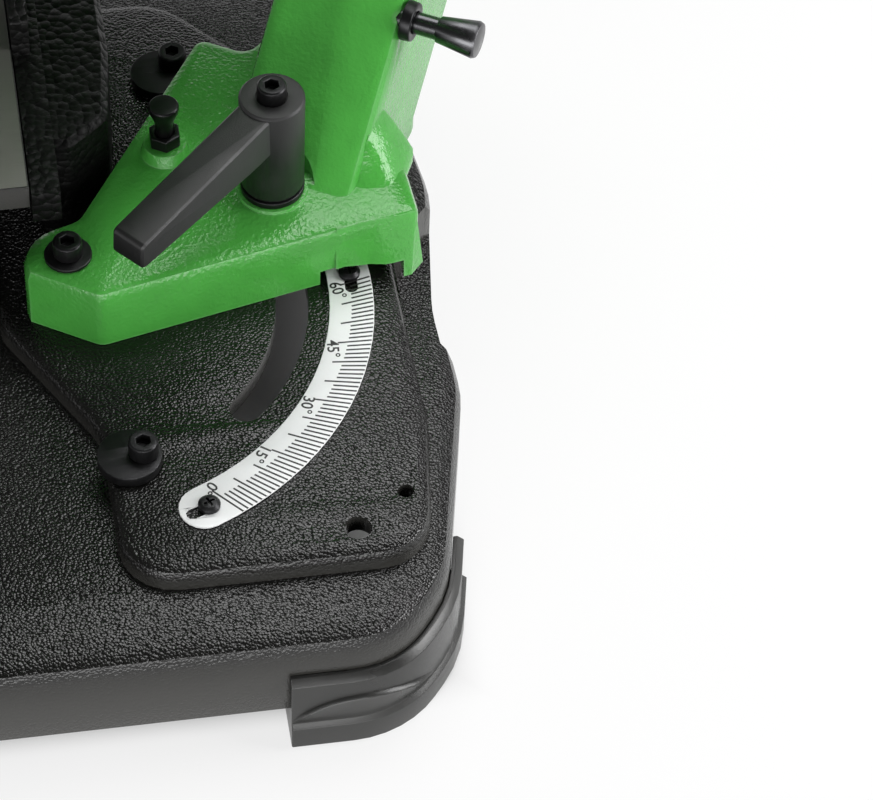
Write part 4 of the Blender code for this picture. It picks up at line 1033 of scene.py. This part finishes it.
@dataclass
class ViseScrew:
    """The vise screw with its thread, along its own axis.

    Attributes:
        root: radius at the bottom of the thread.
        crest: radius over the thread.
        neck: radius of the plain ends.
        ends: where the first neck, the thread and the last neck begin, and where it all ends.
        pitch: how far the thread moves on in a turn.
        chamfer: size of the chamfers at both ends.
        shoulder: how far a neck stays off the thread.
        sides: points round the screw.
        rows_per_turn: rings of the skin in a turn of the thread.
    """

    forge: Forge
    root: float = 0.0066
    crest: float = 0.0080
    neck: float = 0.0060
    ends: tuple[float, float, float, float] = (0.0375, 0.0464, 0.206, 0.224)
    pitch: float = 0.0030
    chamfer: float = 0.0008
    shoulder: float = 0.0001
    sides: int = 24
    rows_per_turn: int = 8

    def build(self, place: Matrix) -> None:
        """Cuts the thread and puts the screw in place of the plain solid.

        Args:
            place: the frame that it is built in.
        """
        thread = self._thread()
        screw = self.forge.piece("vise_screw_thread", thread, place, Coat.STEEL, "vise_screw", "steel")
        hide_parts("vise_screw")

    def _radius(self, along: float, angle: float) -> float:
        """The screw's radius at a place along it and an angle round it.

        Args:
            along: place along the piece.
            angle: the angle.

        Returns:
            The radius.
        """
        _, first, last, _ = self.ends
        phase = (along / self.pitch - angle / (2 * math.pi)) % 1.0
        flank = min(1.0, max(0.0, 2.2 - abs(phase - 0.5) * 6.0))
        run_out = min(1.0, (along - first) / self.pitch, (last - along) / self.pitch)
        return self.root + (self.crest - self.root) * flank * max(0.0, run_out)

    def _thread(self) -> bmesh.types.BMesh:
        """The skin of necks and thread.

        Returns:
            The mesh.
        """
        start, first, last, stop = self.ends
        count = round((last - first) / self.pitch * self.rows_per_turn)
        neck, tip = self.neck, self.neck - self.chamfer
        stations = [(start, tip), (start + self.chamfer, neck), (first - self.shoulder, neck)]
        stations += [(first + (last - first) * step / count, None) for step in range(count + 1)]
        stations += [(last + self.shoulder, neck), (stop - self.chamfer, neck), (stop, tip)]
        rows = []
        for along, plain in stations:
            row = [(plain or self._radius(along, angle), angle) for angle in circle(self.sides)]
            rows.append([Vector((r * math.cos(angle), r * math.sin(angle), along)) for r, angle in row])
        return Forge.tube(rows)


@dataclass
class KnobRibs:
    """Grip ribs round a knob, along the knob's axis.

    Attributes:
        name: the piece's name.
        body: the body that carries it.
        radius: the knob's radius.
        low: where the ribs begin along the knob.
        high: where they end.
        count: how many there are.
        half: half of a rib's width.
        proud: how far a rib stands out.
    """

    forge: Forge
    name: str
    body: str
    radius: float
    low: float
    high: float
    count: int = 18
    half: float = 0.0011
    proud: float = 0.0007

    def build(self, place: Matrix) -> None:
        """Adds the ribs to the knob.

        Args:
            place: the frame that it is built in.
        """
        parts = []
        for angle in circle(self.count):
            turn = Matrix.Rotation(angle, 4, "Z")
            parts.append((self._rib(), turn @ Matrix.Translation((self.radius, 0.0, 0.0))))
        work = Forge.gather(parts)
        self.forge.piece(self.name, work, place, Coat.PLASTIC, self.body, "black_plastic")

    def _rib(self, facets: int = 6) -> bmesh.types.BMesh:
        """One rounded rib with softened ends.

        Args:
            facets: facets over the rib's back.

        Returns:
            The mesh.
        """
        rows = []
        for height, share in (
            (self.low, 0.5),
            (self.low + self.half, 1.0),
            (self.high - self.half, 1.0),
            (self.high, 0.5),
        ):
            row = [Vector((-self.half, -self.half * share, height))]
            for step in range(facets + 1):
                angle = math.pi * (step / facets - 0.5)
                out = self.proud * share * math.cos(angle)
                row.append(Vector((out, self.half * share * math.sin(angle), height)))
            row.append(Vector((-self.half, self.half * share, height)))
            rows.append(row)
        return Forge.tube(rows)


@dataclass
class BowFittings:
    """Screws round the wheel cover and cooling ribs on the motor, in the plane of the wheels.

    Attributes:
        lobes: the middles of the two lobes of the cover, along the blade.
        screw_ring: radius of the screws about a lobe's middle.
        face: height of the cover's flange.
        head: radius of a screw's head.
        motor: the motor's foot: along the blade, across it and out of the plane.
        motor_radius: radius of the motor's housing.
        ribs: how many cooling ribs it has.
        rib_span: where the ribs begin and end along the motor.
        rib_size: half of a rib's width, and how far it stands out.
        rib_sunk: how far the ribs' feet lie inside the housing.
        pin: radius of the small flat at the middle of a screw.
    """

    forge: Forge
    lobes: tuple[float, float] = (-0.321, 0.160)
    screw_ring: float = 0.0842
    face: float = 0.0203
    head: float = 0.0042
    motor: tuple[float, float, float] = (0.195, 0.075, -0.0635)
    motor_radius: float = 0.037
    ribs: int = 22
    rib_span: tuple[float, float] = (0.022, 0.098)
    rib_size: tuple[float, float] = (0.0016, 0.0026)
    rib_sunk: float = 0.0004
    pin: float = 0.0002

    def build(self, place: Matrix) -> None:
        """Adds the screws and the ribs to the bow.

        Args:
            place: the frame that it is built in.
        """
        angles = {self.lobes[0]: (100, 180, 260), self.lobes[1]: (80, 0, -80)}
        for lobe, turns in angles.items():
            for turn in turns:
                angle = math.radians(turn)
                away = Vector((math.cos(angle), math.sin(angle), 0.0)) * self.screw_ring
                spot = Vector((lobe, 0.0, self.face)) + away
                side = "idler" if lobe < 0 else "drive"
                self._screw(f"cover_screw_{side}_{turn % 360}", place @ Matrix.Translation(spot))
        self._ribs(place)

    def _screw(self, name: str, place: Matrix) -> None:
        """One button-head screw with a socket.

        Args:
            name: its name.
            place: the frame that it is built in.
        """
        socket, tall = self.head * 0.42, self.head * 0.6
        profile = [
            (self.pin, tall * 0.25),
            (socket, tall * 0.25),
            (socket, tall),
            (self.head * 0.7, tall * 0.92),
            (self.head * 0.93, tall * 0.5),
            (self.head, 0.0),
            (self.pin, 0.0),
        ]
        self.forge.piece(name, Forge.turned(profile, 24), place, Coat.OXIDE, "bow", "black_oxide")

    def _ribs(self, place: Matrix) -> None:
        """The motor's ribs, along its housing.

        Args:
            place: the frame that it is built in.
        """
        stand = place @ Matrix.Translation(self.motor) @ Matrix.Rotation(-math.pi / 2, 4, "X")
        seat = self.motor_radius - self.rib_sunk
        sizes = (seat, *self.rib_span, self.ribs, *self.rib_size)
        KnobRibs(self.forge, "motor_ribs", "bow", *sizes).build(stand)


@dataclass
class FootMoulding:
    """The moulded facet of the corner feet, shaped like half a lens on the top of the skirt.

    Attributes:
        skirt: height of the plain skirt.
        arch: how far the facet's upper edge rises over the skirt.
        reach: share of the foot's length that the facet takes.
        proud: how far its upper edge stands out.
        lip: height of the ledge over the upper edge.
        buried: how far the facet's back lies inside the foot.
        inset: how far the turning point of the sweep lies inside the foot's corner.
        end_gap: how far the sweep stops short of the foot's ends.
        flank_gap: how far inside the foot's flanks those ends are taken.
        sight: how far outside the turning point the foot is sighted from.
        steps: columns of the facet.
        rows: rows under its ledge.
    """

    forge: Forge
    skirt: float = 0.0166
    arch: float = 0.0140
    reach: float = 0.56
    proud: float = 0.0018
    lip: float = 0.0016
    buried: float = 0.0020
    inset: float = 0.062
    end_gap: float = 0.0012
    flank_gap: float = 0.004
    sight: float = 0.3
    steps: int = 72
    rows: int = 10

    def build(self, frame: dict) -> None:
        """Adds a skin to each foot.
        """
        for name in ("foot_front_right", "foot_front_left", "foot_rear_right", "foot_rear_left"):
            side_x = 1 if name.endswith("right") else -1
            side_y = -1 if "front" in name else 1
            self._skin(name, frame["nodes"][name], side_x, side_y)

    def _skin(self, name: str, node: bpy.types.Object, side_x: int, side_y: int) -> None:
        """Lays the skin on one foot.

        Args:
            name: the foot's name.
            node: its solid.
            side_x: 1 for a foot on the right.
            side_y: 1 for a foot at the rear.
        """
        low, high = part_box(name)
        edge_x = high.x if side_x > 0 else low.x
        edge_y = high.y if side_y > 0 else low.y
        middle = Vector((edge_x - side_x * self.inset, edge_y - side_y * self.inset, 0.0))
        far_x = (low.x if side_x > 0 else high.x) + side_x * self.end_gap
        far_y = (low.y if side_y > 0 else high.y) + side_y * self.end_gap
        start = math.atan2(edge_y - side_y * self.flank_gap - middle.y, far_x - middle.x)
        stop = math.atan2(far_y - middle.y, edge_x - side_x * self.flank_gap - middle.x)
        sweep = (stop - start + math.pi) % (2 * math.pi) - math.pi
        work = bmesh.new()
        work.from_mesh(node.data)
        tree = BVHTree.FromBMesh(work)
        work.free()
        front, back = [], []
        for step in range(self.steps + 1):
            share = step / self.steps
            angle = start + sweep * share
            out = Vector((math.cos(angle), math.sin(angle), 0.0))
            column = [self._point(tree, middle, out, *spot) for spot in self._profile(share)]
            front.append([point for point, _ in column])
            back.append([seat for _, seat in column])
        rings = [outer + list(reversed(inner)) for outer, inner in zip(front, back)]
        self.forge.piece(f"{name}_skin", Forge.tube(rings), Matrix.Identity(4), Coat.FOOT, "base", "rubber")

    def _point(self, tree: BVHTree, middle: Vector, out: Vector, height: float, proud: float) -> tuple:
        """The facet's face and its back at a height on the foot.

        Args:
            tree: the foot's faces, for sighting.
            middle: the turning point of the sweep.
            out: direction from the turning point to the foot.
            height: the height.
            proud: how far the face stands out.

        Returns:
            The point on the face and the point behind it.
        """
        source = middle + out * self.sight + Vector((0.0, 0.0, height))
        hit, normal, _, _ = tree.ray_cast(source, -out)
        if hit is None:
            hit, normal = middle + out * self.inset + Vector((0.0, 0.0, height)), out
        normal = Vector((normal.x, normal.y, 0.0)).normalized()
        return hit + normal * proud, hit - normal * self.buried

    def _profile(self, share: float) -> Profile:
        """Heights at a share of the foot's length, and how far the facet stands out there.

        Args:
            share: share of the foot's length.

        Returns:
            Pairs of height and standing out, from the bottom up.
        """
        run = min(1.0, share / self.reach)
        lens = max(0.02, math.sin(math.pi * run ** 0.75))
        crest = self.arch * lens
        out = self.proud * min(1.0, 2.2 * lens)
        shares = [row / self.rows for row in range(self.rows)]
        face = [(self.skirt + crest * part, out * part - 0.0001) for part in shares]
        top = self.skirt + crest
        ledge = [(top, out), (top + 0.3 * self.lip, 0.85 * out), (top + self.lip, -0.0004)]
        return face + ledge


# Printed marks

@dataclass
class ScaleMarks:
    """The printed ticks and numbers of the degree scale.

    Attributes:
        zero: polar angle of the outer end of the 0 degree tick.
        step: polar angle from one tick to the next.
        lean: how far the ticks lean from the radius.
        outer: radius of the outer ends at 0 and at the last degree.
        short: length of a plain tick at 0 and at the last degree.
        long: length of every fifth tick at 0 and at the last degree.
        line: width of a tick.
        lift: how far the ink stands above the strip.
        last: the highest angle on the scale.
        number_ring: radius of the numbers' middles.
        number_angles: polar angles of the numbers, in degrees.
        number_lean: how far the numbers' tops are turned from the radius.
        letter: size of the letters.
        bold: how far their strokes are thickened.
    """

    forge: Forge
    zero: float = math.radians(-62.2)
    step: float = math.radians(1.0255)
    lean: float = math.radians(14.5)
    outer: tuple[float, float] = (0.1420, 0.1387)
    short: tuple[float, float] = (0.0130, 0.0095)
    long: tuple[float, float] = (0.0175, 0.0141)
    line: float = 0.00082
    lift: float = 0.00005
    last: int = 60
    number_ring: float = 0.1239
    number_angles: tuple[float, ...] = (-64.2, -51.0, -35.2, -19.4, -3.6)
    number_lean: float = math.radians(15)
    letter: float = 0.0073
    bold: float = 0.00010

    def build(self, place: Matrix) -> None:
        """Draws the ticks and the numbers.

        Args:
            place: the frame that it is built in.
        """
        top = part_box("degree_scale")[1].z
        middle = place @ Matrix.Translation((0.0, 0.0, top))
        self.forge.piece("scale_ticks", self._ticks(), middle, Coat.INK, "base", "scale")
        for index in range(len(self.number_angles)):
            self._number(index, middle)

    @staticmethod
    def between(ends: tuple[float, float], share: float) -> float:
        """A value part of the way from the first to the second."""
        return ends[0] + (ends[1] - ends[0]) * share

    def _ticks(self) -> bmesh.types.BMesh:
        """One thin bar for each degree.

        Returns:
            The mesh of all bars.
        """
        parts = []
        for degree in range(self.last + 1):
            share = degree / self.last
            angle = self.zero + self.step * degree
            radius = self.between(self.outer, share)
            length = self.between(self.short if degree % 5 else self.long, share)
            work = bmesh.new()
            bmesh.ops.create_cube(work, size=1.0)
            size = Matrix.Diagonal((length, self.line, self.lift, 1.0))
            inward = Matrix.Translation((-length / 2, 0.0, self.lift / 2))
            outer_end = Matrix.Translation((radius * math.cos(angle), radius * math.sin(angle), 0.0))
            turn = Matrix.Rotation(angle + self.lean, 4, "Z")
            parts.append((work, outer_end @ turn @ inward @ size))
        return Forge.gather(parts)

    def _number(self, index: int, middle: Matrix) -> None:
        """One number, its top turned away from the radius.

        Args:
            index: which number it is.
            middle: the middle of the scale, at its top.
        """
        degree = 15 * index
        text = bpy.data.curves.new("number", "FONT")
        text.body = f"{degree}\N{DEGREE SIGN}"
        text.size = self.letter
        text.align_x = "CENTER"
        text.align_y = "CENTER"
        text.extrude = self.lift / 2
        text.offset = self.bold
        text.resolution_u = 4
        written = shown("number", text)
        bpy.context.view_layer.update()
        graph = bpy.context.evaluated_depsgraph_get()
        mesh = bpy.data.meshes.new_from_object(written.evaluated_get(graph))
        bpy.data.objects.remove(written)
        work = bmesh.new()
        work.from_mesh(mesh)
        bpy.data.meshes.remove(mesh)
        bmesh.ops.remove_doubles(work, verts=work.verts, dist=0.000001)
        self._centre(work)
        angle = math.radians(self.number_angles[index])
        spot = (self.number_ring * math.cos(angle), self.number_ring * math.sin(angle), self.lift / 2)
        turn = Matrix.Rotation(angle + self.number_lean - math.pi / 2, 4, "Z")
        place = middle @ Matrix.Translation(spot) @ turn
        self.forge.piece(f"scale_number_{degree}", work, place, Coat.INK, "base", "scale")

    @staticmethod
    def _centre(work: bmesh.types.BMesh) -> None:
        """Moves a flat mesh so that the middle of its box lies at the origin.

        Args:
            work: the mesh at work.
        """
        for axis in (0, 1):
            values = [vert.co[axis] for vert in work.verts]
            middle = (min(values) + max(values)) / 2
            for vert in work.verts:
                vert.co[axis] -= middle


# Studio

@dataclass
class Studio:
    """The pale floor, the soft lamps and the camera.

    Attributes:
        stand: where the camera stands, from the middle of the scale.
        elevation: how far it looks down.
        azimuth: how far it is turned to the right.
        lens: focal length, in millimetres, on a sensor as wide as the picture.
        sensor: that width, in millimetres.
        shift: how far the picture lies to the right of the camera's axis, as a share of its width.
        floor_half: half of the floor's width.
        floor_drop: height of the floor, just under the feet.
        floor_colour: the floor's own colour.
        floor_white: how much of the floor's look is plain white, which leaves the shadow faint.
        room: brightness of the room that the lamps stand in.
        backdrop: sines of the elevations where the white backdrop begins to fade and where it ends.
    """

    stand: tuple[float, float, float] = (-0.0574, -1.1915, 1.4278)
    elevation: float = math.radians(50)
    azimuth: float = math.radians(7.9)
    lens: float = 168.5
    sensor: float = 36.0
    shift: float = 0.156
    floor_half: float = 6.0
    floor_drop: float = -0.0005
    floor_colour: Colour = (0.86, 0.86, 0.86)
    floor_white: float = 0.78
    room: float = 0.10
    backdrop: tuple[float, float] = (0.20, 0.42)

    def build(self, scale: Matrix) -> None:
        """Sets the stage about the middle of the scale.

        Args:
            scale: the frame of the degree scale.
        """
        bpy.context.scene.view_settings.view_transform = "Standard"
        self._camera(scale)
        self._floor()
        self._world()
        self._lamps()

    def _camera(self, scale: Matrix) -> None:
        """The camera at the photograph's angle.

        Args:
            scale: the frame of the degree scale.
        """
        data = bpy.data.cameras.new("camera")
        data.lens = self.lens
        data.sensor_width = self.sensor
        data.sensor_fit = "HORIZONTAL"
        data.shift_x = self.shift
        data.clip_start = 0.05
        camera = shown("camera", data)
        camera.location = scale @ Vector(self.stand)
        camera.rotation_euler = (math.pi / 2 - self.elevation, 0.0, -self.azimuth)
        bpy.context.scene.camera = camera

    @staticmethod
    def _seen(tree: Tree) -> Socket:
        """1 for rays from the camera and for what gloss and glass show of it.

        Args:
            tree: the nodes.

        Returns:
            The mask.
        """
        path = tree.add("ShaderNodeLightPath")
        seen = tree.math("MAXIMUM", path.outputs["Is Camera Ray"], path.outputs["Is Transmission Ray"])
        return tree.math("MAXIMUM", seen, path.outputs["Is Glossy Ray"])

    @staticmethod
    def _outside(tree: Tree, inside: float = 0.030, outside: float = 0.004) -> Socket:
        """0 on the floor under the base, which stays in its shadow, and 1 all round it.

        Args:
            tree: the nodes.
            inside: how far inside the base's edge the shadow is whole.
            outside: how far inside that edge it ends.

        Returns:
            The mask.
        """
        low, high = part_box("base_casting")
        where = tree.add("ShaderNodeNewGeometry").outputs["Position"]
        spot = tree.add("ShaderNodeSeparateXYZ", {0: where})
        gaps = []
        for axis, name in enumerate("XY"):
            centre, half = (low[axis] + high[axis]) / 2, (high[axis] - low[axis]) / 2
            away = tree.math("ABSOLUTE", tree.math("SUBTRACT", spot.outputs[name], centre))
            gaps.append(tree.math("SUBTRACT", away, half))
        return tree.spread(tree.math("MAXIMUM", *gaps), -inside, -outside, 0.0, 1.0)

    def _floor(self) -> None:
        """A wide pale floor that looks white and still takes the shadow."""
        work = bmesh.new()
        bmesh.ops.create_grid(work, x_segments=1, y_segments=1, size=self.floor_half)
        floor = shown("floor", finished("floor", work))
        floor.location.z = self.floor_drop
        material = bpy.data.materials.new("pale_floor")
        material.use_nodes = True
        tree = Tree(material.node_tree)
        shader = material.node_tree.nodes["Principled BSDF"]
        shader.inputs["Base Color"].default_value = (*self.floor_colour, 1.0)
        shader.inputs["Roughness"].default_value = 0.9
        shader.inputs["Specular IOR Level"].default_value = 0.1
        white = tree.add("ShaderNodeEmission", {"Color": (1.0, 1.0, 1.0, 1.0), "Strength": 1.0})
        share = tree.math("MULTIPLY", self._seen(tree), self.floor_white)
        share = tree.math("MULTIPLY", share, self._outside(tree))
        both = tree.add("ShaderNodeMixShader", {0: share, 1: shader.outputs[0], 2: white.outputs[0]})
        tree.link(both.outputs[0], material.node_tree.nodes["Material Output"].inputs["Surface"])
        floor.data.materials.append(material)

    def _world(self) -> None:
        """A dim even room with a white backdrop all round it, which gloss and glass show too."""
        world = bpy.data.worlds.new("studio")
        world.use_nodes = True
        tree = Tree(world.node_tree)
        back = world.node_tree.nodes["Background"]
        back.inputs["Color"].default_value = (1.0, 1.0, 1.0, 1.0)
        way = tree.add("ShaderNodeTexCoord").outputs["Generated"]
        up = tree.add("ShaderNodeSeparateXYZ", {0: way}).outputs["Z"]
        backdrop = tree.spread(up, *self.backdrop, 1.0, 0.0)
        seen = tree.math("MULTIPLY", self._seen(tree), backdrop)
        tree.link(tree.spread(seen, 0.0, 1.0, self.room, 1.0), back.inputs["Strength"])
        bpy.context.scene.world = world

    def _lamps(self) -> None:
        """Three soft boxes and a wide low fill."""
        aim = Vector((0.05, -0.05, 0.12))
        for name, place, size, power in (
            ("rear_box", (0.60, 0.95, 2.25), (1.8, 1.2), 27.0),
            ("top_box", (0.9, 0.3, 2.4), (1.2, 0.9), 7.0),
            ("right_box", (1.6, -0.45, 0.85), (0.9, 1.0), 24.0),
            ("front_fill", (-0.4, -2.3, 0.55), (3.0, 1.1), 44.0),
        ):
            data = bpy.data.lights.new(name, "AREA")
            data.shape = "RECTANGLE"
            data.size, data.size_y = size
            data.energy = power
            lamp = shown(name, data)
            lamp.location = place
            lamp.rotation_euler = (aim - Vector(place)).to_track_quat("-Z", "Y").to_euler()


def main() -> None:
    """Loads the model, dresses it, adds the small pieces and sets the stage."""
    logging.basicConfig(level=logging.INFO, format="%(name)s: %(message)s")
    for old in list(bpy.data.objects):
        bpy.data.objects.remove(old, do_unlink=True)
    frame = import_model()
    places = Places.read(frame["record"])
    Studio().build(places.scale)
    paints = Paints(Effects())
    forge = Forge(paints)
    Solids(paints).dress(frame)
    tension_ribs = KnobRibs(forge, "tension_knob_ribs", "tension_knob", 0.0153, 0.0066, 0.0196)
    guide_ribs = KnobRibs(forge, "guide_knob_ribs", "guide_knob", 0.0096, 0.0182, 0.0238, 14)
    ScaleMarks(forge).build(places.scale)
    ReturnSpring(forge).build(places.hinge)
    ArmWeb(forge).build(places.arm)
    ViseScrew(forge).build(places.screw)
    tension_ribs.build(places.tension)
    guide_ribs.build(places.guide)
    BowFittings(forge).build(places.wheels)
    FootMoulding(forge).build(frame)


if __name__ == "__main__":
    main()
